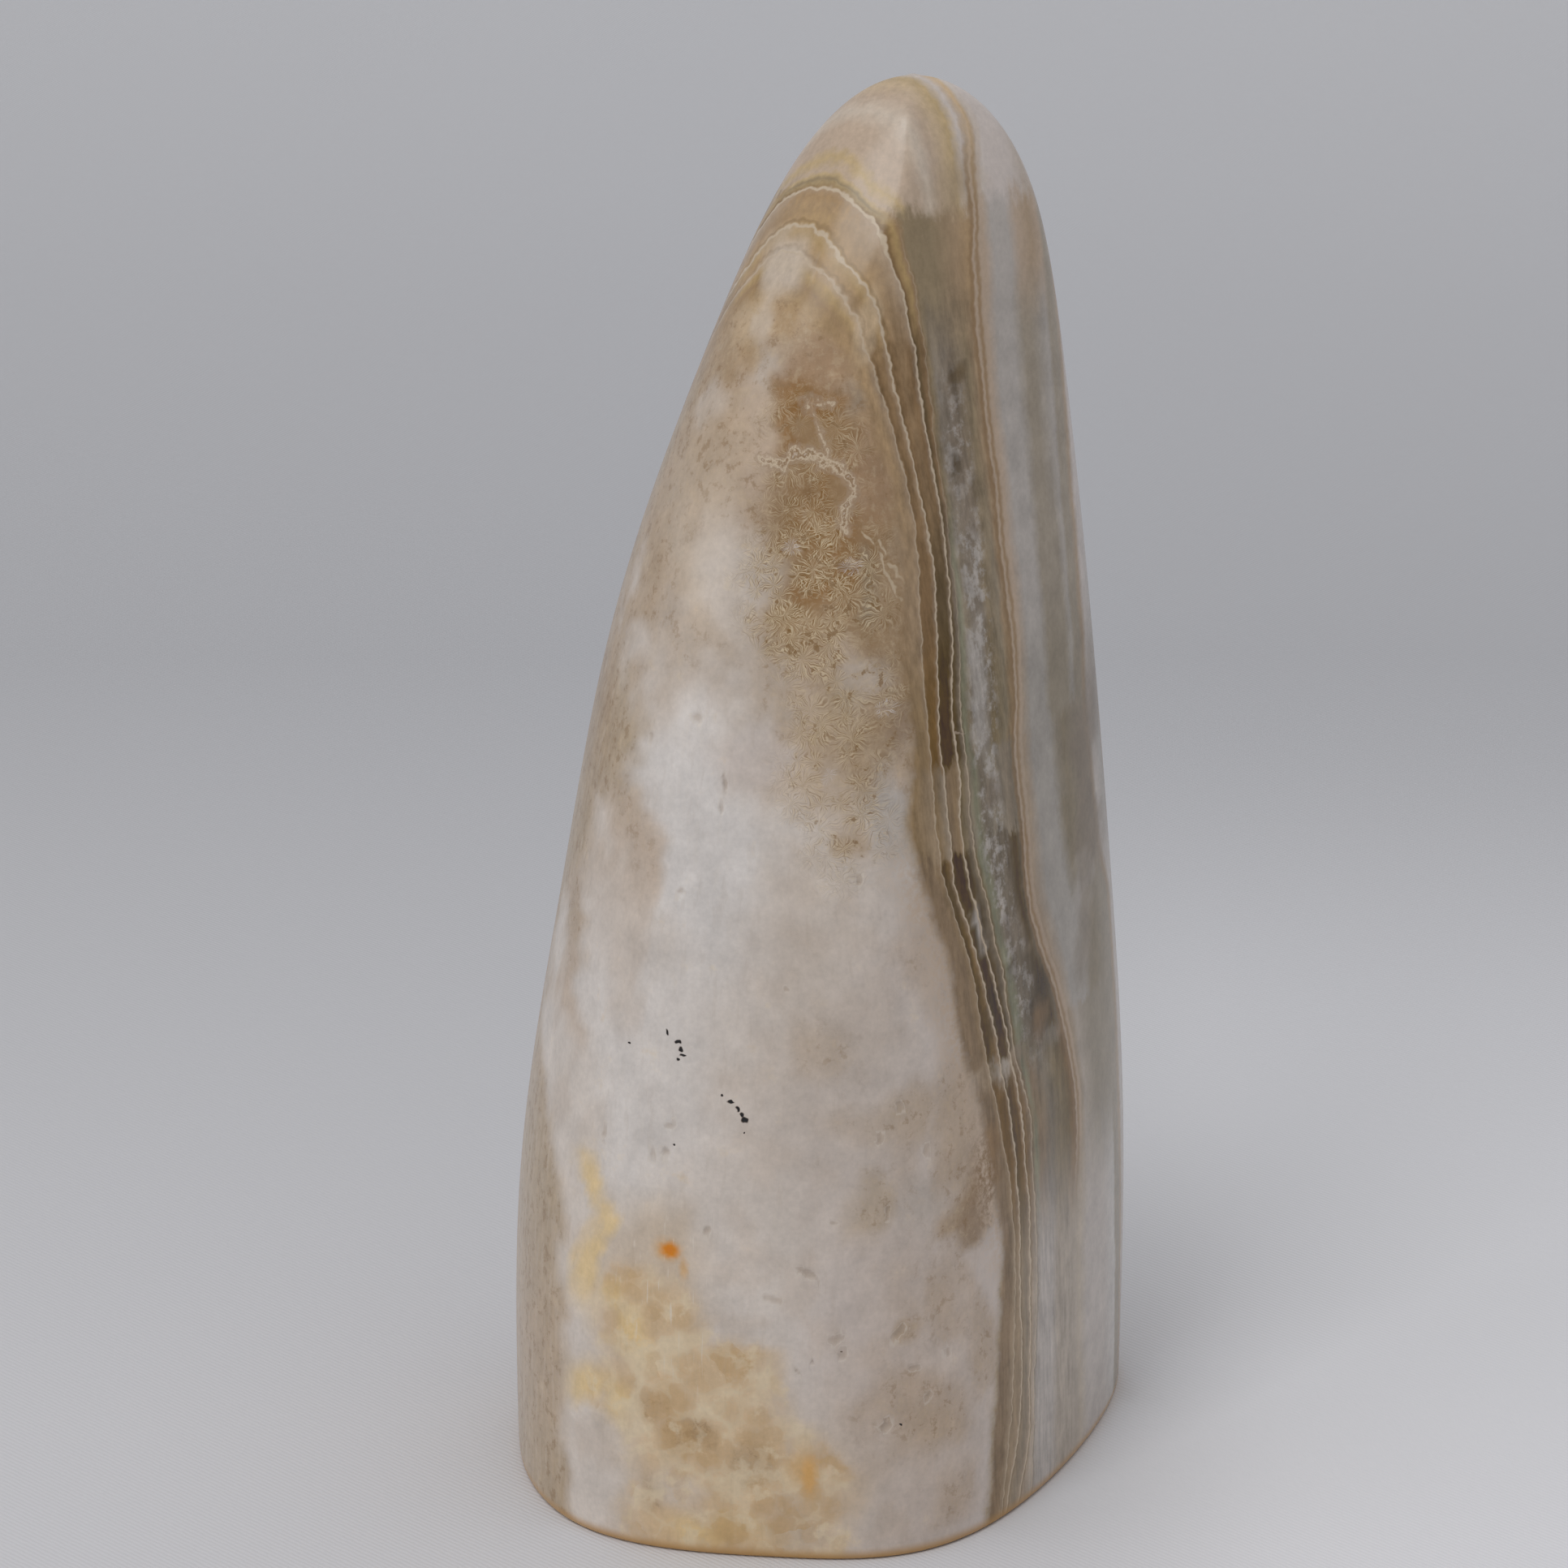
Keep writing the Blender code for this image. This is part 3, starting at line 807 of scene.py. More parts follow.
# %% Clouds in the bands
# x, z, reach across, reach up, softness, strength, colour
BAND_CLOUDS = (
    (12.7, 54.2, 0.45, 2.6, 0.4, 0.9, "lilac"), (13.8, 65.2, 1.0, 1.3, 0.5, 0.8, "dusk"),
    (18.3, 45.2, 1.2, 2.8, 0.5, 0.95, "bark"), (13.7, 46.0, 0.5, 3.2, 0.4, 0.85, "bark"),
    (18.6, 43.6, 0.8, 2.0, 0.5, 0.8, "brown"), (16.2, 52.6, 1.0, 2.2, 0.6, 0.6, "dusk"),
    (17.8, 49.8, 0.9, 1.0, 0.6, 0.6, "moss"), (23.0, 50.6, 1.7, 2.2, 0.5, 0.9, "lilac"),
    (23.7, 46.6, 1.4, 3.6, 0.6, 0.85, "slate"), (14.9, 26.8, 0.9, 2.2, 0.4, 0.8, "cocoa"),
    (13.2, 73.6, 1.1, 5.0, 0.5, 0.75, "lilac"), (13.7, 29.0, 1.4, 2.2, 0.4, 0.9, "brown"),
    (13.8, 32.4, 1.4, 3.0, 0.4, 0.9, "brown"), (13.2, 23.0, 1.0, 2.6, 0.5, 0.6, "cocoa"),
    (12.2, 92.0, 0.9, 3.0, 0.5, 0.7, "dusk"), (12.0, 89.0, 1.0, 1.6, 0.5, 0.7, "fawn"),
    # the cream cloud at x -3.9, z 109.3 is a painted highlight on the pale ridge below the tip
    (10.6, 33.0, 1.0, 3.0, 0.5, 0.6, "sand"), (-3.9, 109.3, 1.8, 2.8, 0.5, 0.85, "cream"),
    (-0.5, 109.2, 1.0, 1.6, 0.5, 0.7, "gold"), (2.6, 105.4, 0.9, 3.0, 0.5, 0.6, "peach"),
    (11.1, 93.6, 1.0, 1.6, 0.5, 0.9, "bark"), (11.6, 100.4, 0.9, 0.9, 0.5, 0.8, "umber"),
    (12.0, 87.6, 0.8, 1.6, 0.5, 0.8, "dusk"), (16.5, 48.4, 1.1, 2.3, 0.5, 0.8, "bark"),
    (11.2, 57.2, 0.6, 2.6, 0.4, 0.7, "umber"), (23.5, 61.0, 1.8, 12.0, 0.4, 0.8, "dusk"),
    (18.0, 36.9, 0.9, 2.4, 0.5, 0.6, "dark_olive"), (10.8, 115.8, 2.2, 2.2, 0.8, 0.75, "khaki"),
)
cloud_paint = np.zeros((len(points), 3))
cloud_mask = np.zeros(len(points))
for x, z, across, up, softness, strength, tint in BAND_CLOUDS:
    mask = strength * patch(rough_points, x, z, across, up, softness)
    cloud_paint = lay(cloud_paint, np.where(cloud_mask > 0.0, mask, mask > 0.0), tint)
    cloud_mask = np.maximum(cloud_mask, mask)
store("band_cloud", cloud_paint)
store("band_cloud_mask", cloud_mask)
print("painted", len(points), "points")

# %% [markdown]
# ## The colours of the bands
# A band keeps its place between the lines but changes colour as it climbs: grey and pale at the
# foot, dark brown at half height, caramel under the tip. So each height zone has its own colour
# ramp over the layer value, and the zones are blended where the real stone heals over.

# %% Band colours
NEAR_BANDS = {
    "foot": (
        (-0.4, "wheat"), (-0.28, "khaki"), (-0.24, "cocoa"), (-0.1, "cocoa"), (-0.04, "sand"),
        (0.03, "sand"), (0.1, "sand"), (0.19, "fawn"), (0.27, "wheat"), (0.35, "shell"), (0.45, "pearl"),
        (0.62, "pearl"), (0.72, "shell"), (0.92, "shell"), (1.04, "shell"), (1.12, "cream"), (1.3, "milk"),
        (1.7, "milk"), (2.1, "chalk"),
    ),
    "knee": (
        (-0.4, "sand"), (-0.3, "cocoa"), (-0.1, "cocoa"), (-0.02, "tan"), (0.015, "brown"), (0.1, "brown"),
        (0.13, "umber"), (0.23, "brown"), (0.265, "brown"), (0.37, "cocoa"), (0.42, "sage"),
        (0.47, "cocoa"), (0.62, "slate"), (0.76, "olive"), (0.86, "dark_olive"), (0.93, "brown"),
        (1, "brown"), (1.08, "sand"), (1.25, "shell"), (1.6, "ash"), (2.1, "ash"),
    ),
    "scar": (
        (-0.4, "wheat"), (-0.25, "wheat"), (-0.05, "sand"), (0.05, "fawn"), (0.12, "shell"),
        (0.2, "shell"), (0.3, "sand"), (0.4, "fawn"), (0.47, "moss"), (0.7, "slate"), (0.86, "slate"),
        (0.93, "cocoa"), (1, "tan"), (1.08, "sand"), (1.25, "shell"), (1.6, "ash"), (2.1, "ash"),
    ),
    "waist": (
        (-0.4, "wheat"), (-0.28, "cocoa"), (-0.22, "cocoa"), (-0.1, "cocoa"), (-0.02, "tan"),
        (0.015, "umber"), (0.1, "caramel"), (0.13, "umber"), (0.22, "umber"), (0.265, "umber"),
        (0.33, "dusk"), (0.38, "olive"), (0.42, "sage"), (0.47, "sage"), (0.54, "slate"), (0.66, "slate"),
        (0.76, "dusk"), (0.86, "umber"), (0.93, "dusk"), (1, "brown"), (1.1, "wheat"), (1.25, "lilac"),
        (1.5, "lilac"), (1.66, "moss"), (1.8, "moss"), (2.1, "ash"),
    ),
    "healed": (
        (-0.4, "shell"), (-0.28, "sand"), (-0.23, "tan"), (-0.04, "sand"), (0.015, "tan"), (0.11, "fawn"),
        (0.14, "cocoa"), (0.24, "tan"), (0.27, "olive"), (0.38, "fawn"), (0.45, "sage"), (0.52, "slate"),
        (0.64, "ash"), (0.86, "fawn"), (0.92, "slate"), (1, "moss"), (1.12, "wheat"), (1.25, "lilac"),
        (1.52, "lilac"), (1.66, "ash"), (1.8, "moss"), (2.1, "ash"),
    ),
    "shoulder": (
        (-0.4, "caramel"), (-0.2, "tan"), (-0.03, "tan"), (0.015, "brown"), (0.1, "brown"),
        (0.13, "umber"), (0.23, "umber"), (0.265, "umber"), (0.35, "dusk"), (0.4, "sage"), (0.46, "moss"),
        (0.55, "slate"), (0.64, "slate"), (0.72, "olive"), (0.86, "moss"), (0.92, "tan"), (1, "khaki"),
        (1.08, "wheat"), (1.25, "lilac"), (1.48, "lilac"), (1.62, "ash"), (1.78, "ash"), (1.95, "ash"),
        (2.1, "lilac"),
    ),
    "crown": (
        (-0.4, "caramel"), (-0.2, "gold"), (-0.03, "tan"), (0.015, "brown"), (0.11, "caramel"),
        (0.13, "brown"), (0.18, "caramel"), (0.23, "brown"), (0.265, "umber"), (0.35, "brown"),
        (0.4, "olive"), (0.46, "slate"), (0.62, "dusk"), (0.82, "olive"), (0.92, "tan"), (1, "tan"),
        (1.1, "wheat"), (1.25, "lilac"), (1.5, "lilac"), (1.68, "ash"), (1.8, "ash"), (2.1, "lilac"),
    ),
    "tip": (
        (-0.4, "amber"), (-0.2, "caramel"), (-0.08, "amber"), (0, "sand"), (0.03, "gold"), (0.1, "amber"),
        (0.14, "gold"), (0.19, "tan"), (0.24, "sand"), (0.265, "brown"), (0.32, "amber"),
        (0.36, "caramel"), (0.4, "olive"), (0.6, "olive"), (0.8, "tan"), (0.93, "gold"), (1.04, "sand"),
        (1.15, "wheat"), (1.3, "lilac"), (1.55, "lilac"), (1.72, "wheat"), (1.9, "sand"), (2.1, "wheat"),
    ),
    # the cap's cream stop is partly its own pale layer and partly a painted highlight on the ground facet at
    # the tip
    "cap": (
        (0.1, "amber"), (0.2, "gold"), (0.26, "caramel"), (0.29, "straw"), (0.32, "olive"),
        (0.35, "straw"), (0.38, "wheat"), (0.42, "straw"), (0.46, "wheat"), (0.54, "wheat"),
        (0.62, "cream"), (0.7, "wheat"), (0.78, "peach"), (0.86, "straw"), (0.94, "milk"), (1, "honey"),
        (1.12, "haze"), (1.3, "milk"), (1.76, "milk"), (1.95, "shell"), (2.1, "shell"),
    ),
}
BAND_RANGE = (-0.4, 2.15)
BACK_BANDS = (
    (2.1, "ash"), (2.25, "ash"), (2.35, "sand"), (2.45, "milk"), (2.75, "lilac"), (2.95, "tan"),
    (3.02, "wheat"), (3.25, "milk"), (3.5, "fawn"), (3.62, "caramel"), (3.68, "sand"), (3.9, "milk"),
    (4.2, "khaki"),
)
BACK_RANGE = (2.1, 4.4)
# the height at which each zone ends, and how softly
ZONE_TOPS = {
    "foot": (27.0, 6.0), "knee": (40.0, 1.2), "scar": (41.8, 0.6), "waist": (60.8, 0.5),
    "healed": (68.5, 0.6), "shoulder": (88.0, 6.0), "crown": (105.0, 4.0), "tip": (114.0, 1.2),
}

# %% [markdown]
# ## What the finishes share
# Every finish reads the same places, noises and painted fields, so they are made once and kept
# together. A place pushed about a little makes hand-drawn edges out of plain patches and paths.

# %% The stone in the shader
# the flat plane that the crystals' patterns use: how much of x and of y it runs along
FACE_TURN = (0.9, 0.43)
# noises: their size in mm, how many finer ones are added, and how strong those are
MOTTLE = (2.6, 4.0, 0.62)
GRAIN = (0.5, 3.0, 0.65)
STREAKS = (0.7, 3.0, 0.62)
STREAK_STRETCH = (1.0, 1.0, 0.14)
# pushed places: size, reach, and how many finer pushes are added
ROUGH = (1.5, 0.5, 2.0)
FINE = (0.4, 0.10, 0.0)
# the small crystal ends across the growth lines: size, middle, reach in mm, reach in layers
TOOTH_SIZE = 0.75
TOOTH_MIDDLE = 0.45
TOOTH_REACH = 0.30
TOOTH_LAYERS = 0.08


def face_point(x, z):
    """A front point in the flat plane that the crystals' patterns use."""
    spot = on_front(x, z)
    return (FACE_TURN[0] * spot[0] - FACE_TURN[1] * spot[1], spot[2], 0.0)


def front_distance(r, place, path):
    """How far each point is from a path that is given by x and z on the front."""
    return r.path_distance(place, [on_front(*point) for point in path])


def read_stone(r):
    place = r.scaled(r.node("ShaderNodeTexCoord").outputs["Object"], 1.0 / MM)
    rough_place = r.wander(place, *ROUGH)
    rough = r.split(rough_place)
    turned = r.minus(r.times(rough["X"], FACE_TURN[0]), r.times(rough["Y"], FACE_TURN[1]))
    layers = r.split(r.attribute("layers")["Vector"])
    fields = r.split(r.attribute("fields")["Vector"])
    cusps = r.node("ShaderNodeTexVoronoi", {"Vector": place, "Scale": 1.0 / TOOTH_SIZE})
    teeth = r.times(r.minus(cusps.outputs["Distance"], TOOTH_MIDDLE), TOOTH_REACH)
    return SimpleNamespace(
        place=place, rough_place=rough_place, fine_place=r.wander(place, *FINE),
        face_place=r.node("ShaderNodeCombineXYZ", {0: turned, 1: rough["Z"]}).outputs[0],
        height=r.split(place)["Z"],
        mottle=r.noise(place, *MOTTLE), grain=r.noise(place, *GRAIN),
        streaks=r.noise(r.vector("MULTIPLY", place, STREAK_STRETCH), *STREAKS),
        paint=r.attribute("paint")["Vector"],
        crystals=fields["X"], honey=fields["Y"], rind=fields["Z"],
        level=layers["X"], third=layers["Y"], edge=layers["Z"],
        near_lines=r.split(r.attribute("lines")["Vector"]), tan_line=r.attribute("tan_line")["Fac"],
        teeth=teeth, toothed=r.plus(layers["X"], r.times(teeth, TOOTH_LAYERS)),
    )


# %% [markdown]
# ## The bands in the shader
# Each band zone becomes one colour ramp over the layer value. Across the growth lines the
# crystals have tiny pointed ends, so the value is moved back and forth by small cusps before it
# is read. The cream lines are thin, with a soft pale fringe on the side where they grew.

# %% Band zones
# the layer value at which the bands behind begin and are full
BACK_BEGINS = (2.05, 2.15)
# cloudy grain: between which layers and heights, and how softly; its noise; its strengths
SUGAR_LAYERS = (0.46, 0.74, 0.07)
SUGAR_HEIGHTS = (42.0, 98.0, 6.0)
SUGAR_NOISE = (1.5, 4.0, 0.68)
SUGAR_PALE = 0.8
SUGAR_DARK = 0.6


def add_bands(r, value, height):
    """The colours of each height zone, blended at the zones' tops, and then those behind."""
    colour = below = None
    for zone, stops in NEAR_BANDS.items():
        band = r.ramp(value, stops, *BAND_RANGE)
        if below is not None:
            top, soft = ZONE_TOPS[below]
            band = r.lay(colour, r.rise(height, top - soft, top + soft), band)
        colour, below = band, zone
    return r.lay(colour, r.rise(value, *BACK_BEGINS), r.ramp(value, BACK_BANDS, *BACK_RANGE))


def add_sugar(r, colour, stone):
    """Cloudy white crystal grain between the third line and the dark band."""
    grainy = r.noise(stone.place, *SUGAR_NOISE)
    where = r.times(r.between(stone.toothed, *SUGAR_LAYERS), r.between(stone.height, *SUGAR_HEIGHTS))
    colour = r.lay(colour, r.rise(grainy, 0.46, 0.64), "lilac", r.times(where, SUGAR_PALE))
    return r.lay(colour, r.times(r.rise(grainy, 0.46, 0.34), where), "dusk", SUGAR_DARK)


# %% Lines
LINE_CREAM = (0.66, 0.54, 0.40)
# for each cream line: half width in mm, and strength
LINE_LOOKS = {"inner": (0.065, 0.6), "first": (0.085, 0.95), "second": (0.095, 1.0), "third": (0.07, 0.7)}
# where the lines are worn away, by the streaks
LINE_WORN = (0.15, 0.4)
# the third line ends near the tip, and is fainter above half height
THIRD_END = (114.0, 110.0)
THIRD_FAINTER = (80.0, 72.0)
THIRD_FAINTEST = 0.35
# in mm across each line: the pale fringe in front of it and the dark strip behind
FRINGE_FRONT = (-0.55, 0.0)
FRINGE_BACK = (0.06, 0.0)
FRINGE_STRENGTH = 0.38
STRIP = (0.16, 0.34, 0.10)
STRIP_STRENGTH = 0.35
# the tan double line: where across it, half width, colour, strength
TAN_LINES = ((-0.55, 0.30, "brown", 0.6), (-0.10, 0.22, "wheat", 0.8), (0.28, 0.26, "caramel", 0.75),
             (0.75, 0.30, "wheat", 0.6))
TAN_HEIGHTS_SEEN = (28.0, 120.0, 6.0)


def thin_line(r, distance, half_width, core):
    """1 on the core of a line, falling to 0 a little outside its half width."""
    return r.rise(r.math("ABSOLUTE", distance), 1.8 * half_width, core * half_width)


def add_cream_lines(r, colour, stone):
    near = stone.near_lines
    distances = {"inner": near["X"], "first": near["Y"], "second": near["Z"], "third": stone.third}
    worn = r.rise(stone.streaks, *LINE_WORN)
    for name, (half_width, strength) in LINE_LOOKS.items():
        distance = r.plus(distances[name], stone.teeth)
        kept = r.times(worn, strength)
        if name == "third":
            lower = r.times(r.rise(stone.height, *THIRD_FAINTER), 1.0 - THIRD_FAINTEST)
            kept = r.times(kept, r.times(r.rise(stone.height, *THIRD_END), r.plus(lower, THIRD_FAINTEST)))
        fringe = r.times(r.rise(distance, *FRINGE_FRONT), r.rise(distance, *FRINGE_BACK))
        colour = r.lay(colour, fringe, "wheat", r.times(kept, FRINGE_STRENGTH))
        colour = r.lay(colour, r.times(r.between(distance, *STRIP), kept), "umber", STRIP_STRENGTH)
        colour = r.lay(colour, thin_line(r, distance, half_width, 0.4), LINE_CREAM, kept)
    return colour


def add_tan_lines(r, colour, stone):
    """Two thin brown lines with a pale one between, where the lilac begins."""
    distance = r.plus(stone.tan_line, stone.teeth)
    seen = r.between(stone.height, *TAN_HEIGHTS_SEEN)
    for place, half_width, tint, strength in TAN_LINES:
        edge = thin_line(r, r.minus(distance, place), half_width, 0.3)
        colour = r.lay(colour, edge, tint, r.times(seen, strength))
    return colour


# %% [markdown]
# ## Crystals, veins, cells and spots
# On top of the painted ground come the crisp things: needles that fan out, a winding vein,
# honey-coloured grains, rust spots and dark mineral specks.

# %% Crystals
NEEDLE_PALE = (0.72, 0.58, 0.39)
NEEDLE_DARK = (0.28, 0.165, 0.07)
# fans of needles in random cells: how wide a cell is, and how many needles
FANS = ((3.2, 9.0), (1.7, 6.0))
# how far a fan reaches from its centre, and how much its edge is frayed
FAN_REACH = 0.42
FAN_FRAY = 0.5
FAN_HEART = 0.3
# rosettes of white needles: x, z, reach
ROSETTES = ((-3.0, 87.8, 0.9), (2.0, 86.2, 0.9), (4.9, 74.6, 0.9), (0.2, 69.3, 0.8))
ROSETTE_NEEDLES = 7.0
# hollows: their noise, the level under which it is hollow, and where the field is full
HOLLOW_NOISE = (1.1, 4.0, 0.62)
HOLLOW_LEVEL = (0.34, 0.31)
HOLLOW_RIM = (0.35, 0.37, 0.015)
HOLLOW_FIELD = (0.2, 0.6)


def add_fans(r, colour, stone, size, strands):
    """Random cells, each a small fan of pale and brown needles about its own centre."""
    cell = r.cells(stone.face_place, size)
    pick = r.split(cell["Color"])
    fans = r.needles(stone.face_place, cell["Position"], strands, r.times(pick["X"], 60.0))
    reach = r.plus(FAN_REACH, r.times(stone.grain, FAN_FRAY))
    near = r.times(r.rise(cell["Distance"], reach, FAN_HEART), r.rise(pick["Y"], 0.1, 0.35))
    near = r.times(near, r.times(stone.crystals, 1.3), clamp=True)
    colour = r.lay(colour, r.times(r.rise(fans, 0.46, 0.38), near), NEEDLE_DARK, 0.7)
    return r.lay(colour, r.times(r.rise(fans, 0.54, 0.60), near), NEEDLE_PALE, 0.85)


def add_hollows(r, colour, stone):
    """Small brown hollows with pale rims, where a ragged noise falls under a level."""
    level = r.minus(r.noise(stone.place, *HOLLOW_NOISE), r.times(stone.crystals, 0.05))
    seen = r.rise(stone.crystals, *HOLLOW_FIELD)
    colour = r.lay(colour, r.times(r.rise(level, *HOLLOW_LEVEL), seen), "brown", 0.7)
    return r.lay(colour, r.times(r.between(level, *HOLLOW_RIM), seen), NEEDLE_PALE, 0.5)


def add_rosettes(r, colour, stone):
    for x, z, reach in ROSETTES:
        centre = face_point(x, z)
        fans = r.needles(stone.face_place, centre, ROSETTE_NEEDLES, x)
        away = r.vector("DISTANCE", stone.face_place, centre)
        mask = r.times(r.rise(fans, 0.5, 0.58), r.rise(away, reach, 0.5 * reach))
        colour = r.lay(colour, mask, "milk", 0.8)
    return colour


# %% Veins
VEIN_CREAM = (0.76, 0.63, 0.46)
# a vein as x and z along it, and its branch; the twin lines run beside the layers
VEIN = ((-5.4, 94.9), (-3.7, 94.2), (-2.6, 95.4), (-1.4, 95.3), (-0.5, 94.7), (0.7, 94.4), (1.7, 93.6),
        (2.1, 92.3), (1.7, 90.9), (1.5, 89.4))
VEIN_BRANCH = ((-0.2, 94.8), (0.0, 96.2), (-0.9, 98.0), (-1.7, 99.4), (0.4, 99.2))
BRANCH_THINNER = 0.22
# how far the noises push the vein's edges about, in mm
VEIN_WAVE = 1.0
VEIN_FRAY = 1.2
# the vein's sheets, in mm from its path: from, to, softness, strength, colour
VEIN_SHEETS = ((0.44, 0.52, 0.08, 0.45, "brown"), (0.15, 0.29, 0.06, 0.7, VEIN_CREAM),
               (-0.02, 0.07, 0.04, 0.75, "brown"))
# where the stone in and below the bend of the vein is brown: x, z, reach across, reach up
VEIN_HEART = ((-0.6, 96.6, 1.6, 1.4), (0.9, 92.4, 0.9, 2.0), (-2.2, 97.4, 0.8, 0.8))
HEART_DEPTH = 3.0
TWIN_LINES = (((2.7, 89.3), (4.0, 87.7), (5.4, 85.2), (6.4, 82.8)), ((4.3, 88.4), (5.5, 86.2), (6.7, 84.0)))
CRACK = ((6.4, 72.3), (11.9, 70.6))
CRACK_EDGE = (0.16, 0.06)


def add_veins(r, colour, stone):
    """A winding vein: a fuzzy cream fringe of needles about a few wavy brown and cream sheets."""
    for x, z, across, up in VEIN_HEART:
        mask = r.patch(stone.rough_place, on_front(x, z), (across, HEART_DEPTH, up), 0.5, 0.75)
        colour = r.lay(colour, mask, "caramel")
    away = front_distance(r, stone.rough_place, VEIN)
    branch = r.plus(front_distance(r, stone.rough_place, VEIN_BRANCH), BRANCH_THINNER)
    away = r.math("MINIMUM", away, branch)
    away = r.plus(r.plus(away, r.swing(stone.mottle, VEIN_WAVE)), r.swing(stone.grain, VEIN_FRAY))
    colour = r.lay(colour, r.rise(away, 0.9, 0.35), "wheat", 0.45)
    for start, end, soft, strength, tint in VEIN_SHEETS:
        colour = r.lay(colour, r.between(away, start, end, soft), tint, strength)
    colour = r.lay(colour, r.rise(away, -0.08, -0.16), "cream", 0.7)
    for line in TWIN_LINES:
        away = front_distance(r, stone.rough_place, line)
        colour = r.lay(colour, r.rise(away, 0.5, 0.2), "caramel", 0.45)
        colour = r.lay(colour, r.rise(away, 0.22, 0.08), VEIN_CREAM, 0.6)
    return colour


# %% Honey grains
HONEY_GRAIN = (0.62, 0.41, 0.205)
HONEY_HAZE = (0.86, 0.72, 0.51)
# the grains' size in mm, and their strength
HONEY_GRAINS = ((4.4, 0.55), (2.2, 0.3))
GRAIN_FRAY = 0.3


def add_honey(r, colour, stone):
    """Rounded honey-coloured grains of two sizes, with hazy pale borders, low on the left."""
    inside = r.rise(r.plus(stone.honey, r.swing(stone.mottle, 1.4)), 0.15, 0.65)
    for size, strength in HONEY_GRAINS:
        grains = r.cells(stone.face_place, size)
        near = r.minus(grains["Distance"], r.swing(stone.grain, GRAIN_FRAY))
        shade = r.times(r.rise(r.split(grains["Color"])["X"], 0.25, 0.8), strength)
        colour = r.lay(colour, r.rise(near, 0.52, 0.30), HONEY_GRAIN, r.times(shade, inside))
        colour = r.lay(colour, r.rise(near, 0.52, 0.66), HONEY_HAZE, r.times(inside, 1.1 * strength))
    return r.lay(colour, r.times(r.rise(stone.mottle, 0.55, 0.68), inside), HONEY_HAZE, 0.6)


# %% Rust and specks
RUST = (0.80, 0.27, 0.02)
RUST_HALO = (0.80, 0.42, 0.10)
RUST_WASH = (0.72, 0.43, 0.17)
RUST_STREAK = (0.82, 0.45, 0.14)
# rust spots: x, z, reach across, reach up, strength, colour
RUSTS = ((-13.6, 28.2, 1.1, 0.9, 0.5, RUST_HALO), (-13.4, 28.2, 0.7, 0.6, 1.0, RUST),
         (-12.2, 26.7, 0.35, 0.8, 0.5, RUST_HALO), (-1.9, 8.8, 1.4, 1.6, 0.7, RUST_WASH),
         (-1.4, 8.0, 0.6, 1.6, 0.65, RUST_STREAK))
RUST_DEPTH = 2.0
SPECK = (0.035, 0.015, 0.01)
# dark mineral specks: x, z, reach across, reach up
SPECKS = ((-13.5, 47.1, 0.09, 0.17), (-12.6, 46.4, 0.20, 0.13), (-12.4, 45.8, 0.15, 0.17),
          (-12.2, 45.3, 0.20, 0.09), (-12.6, 44.9, 0.10, 0.10), (-16.8, 45.5, 0.08, 0.08),
          (-8.9, 42.2, 0.10, 0.07), (-8.1, 41.7, 0.25, 0.09), (-7.5, 41.1, 0.12, 0.17),
          (-7.2, 40.6, 0.13, 0.17), (-6.95, 40.2, 0.21, 0.19), (-7.0, 39.0, 0.06, 0.06),
          (-13.0, 37.6, 0.07, 0.07), (1.3, 19.6, 0.07, 0.07), (6.5, 12.4, 0.07, 0.07))
SPECK_DEPTH = 0.8
SPECK_SPREAD = 1.4


def add_spots(r, colour, stone):
    for x, z, across, up, strength, tint in RUSTS:
        mask = r.patch(stone.fine_place, on_front(x, z), (across, RUST_DEPTH, up), 0.75, strength)
        colour = r.lay(colour, mask, tint)
    for x, z, across, up in SPECKS:
        reach = (SPECK_SPREAD * across, SPECK_DEPTH, SPECK_SPREAD * up)
        colour = r.lay(colour, r.patch(stone.fine_place, on_front(x, z), reach, 0.3), SPECK)
    return colour


# %% Flakes, grain and scratches
FLAKE_PALE = (0.64, 0.50, 0.34)
FLAKE_NOISE = (1.1, 5.0, 0.72)
SCRATCH_PALE = (0.86, 0.78, 0.68)
SCRATCH_STRETCH = (1.0, 1.0, 0.05)
SCRATCH_NOISE = (0.22, 1.0)
# the scratched patch: x and z, and its reach
SCRATCHED = (-13.0, 25.0)
SCRATCH_REACH = (4.5, 8.0, 9.0)
STREAK_PALE = (0.72, 0.62, 0.50)
STREAK_DARK = (0.38, 0.27, 0.16)


def add_flakes(r, colour, stone):
    """Pale flakes and brown gaps in the tan parts, where the crystals are not packed tight."""
    tanness = r.rise(r.split(stone.paint)["Y"], 0.60, 0.40)
    flakes = r.noise(stone.place, *FLAKE_NOISE)
    colour = r.lay(colour, r.times(r.rise(flakes, 0.52, 0.64), tanness), FLAKE_PALE, 0.35)
    return r.lay(colour, r.times(r.rise(flakes, 0.47, 0.37), tanness), "brown", 0.55)


def add_grounds(r, colour, stone):
    """The faint upright grain of the stone, and the scratches low on the left."""
    scratches = r.noise(r.vector("MULTIPLY", stone.place, SCRATCH_STRETCH), *SCRATCH_NOISE)
    scratched = r.patch(stone.place, on_front(*SCRATCHED), SCRATCH_REACH, 0.5, 0.55)
    colour = r.lay(colour, r.rise(scratches, 0.66, 0.74), SCRATCH_PALE, scratched)
    streaked = r.plus(r.times(stone.rind, 0.22), 0.08)
    colour = r.lay(colour, r.rise(stone.streaks, 0.5, 0.68), STREAK_PALE, streaked)
    return r.lay(colour, r.rise(stone.streaks, 0.46, 0.3), STREAK_DARK, streaked)
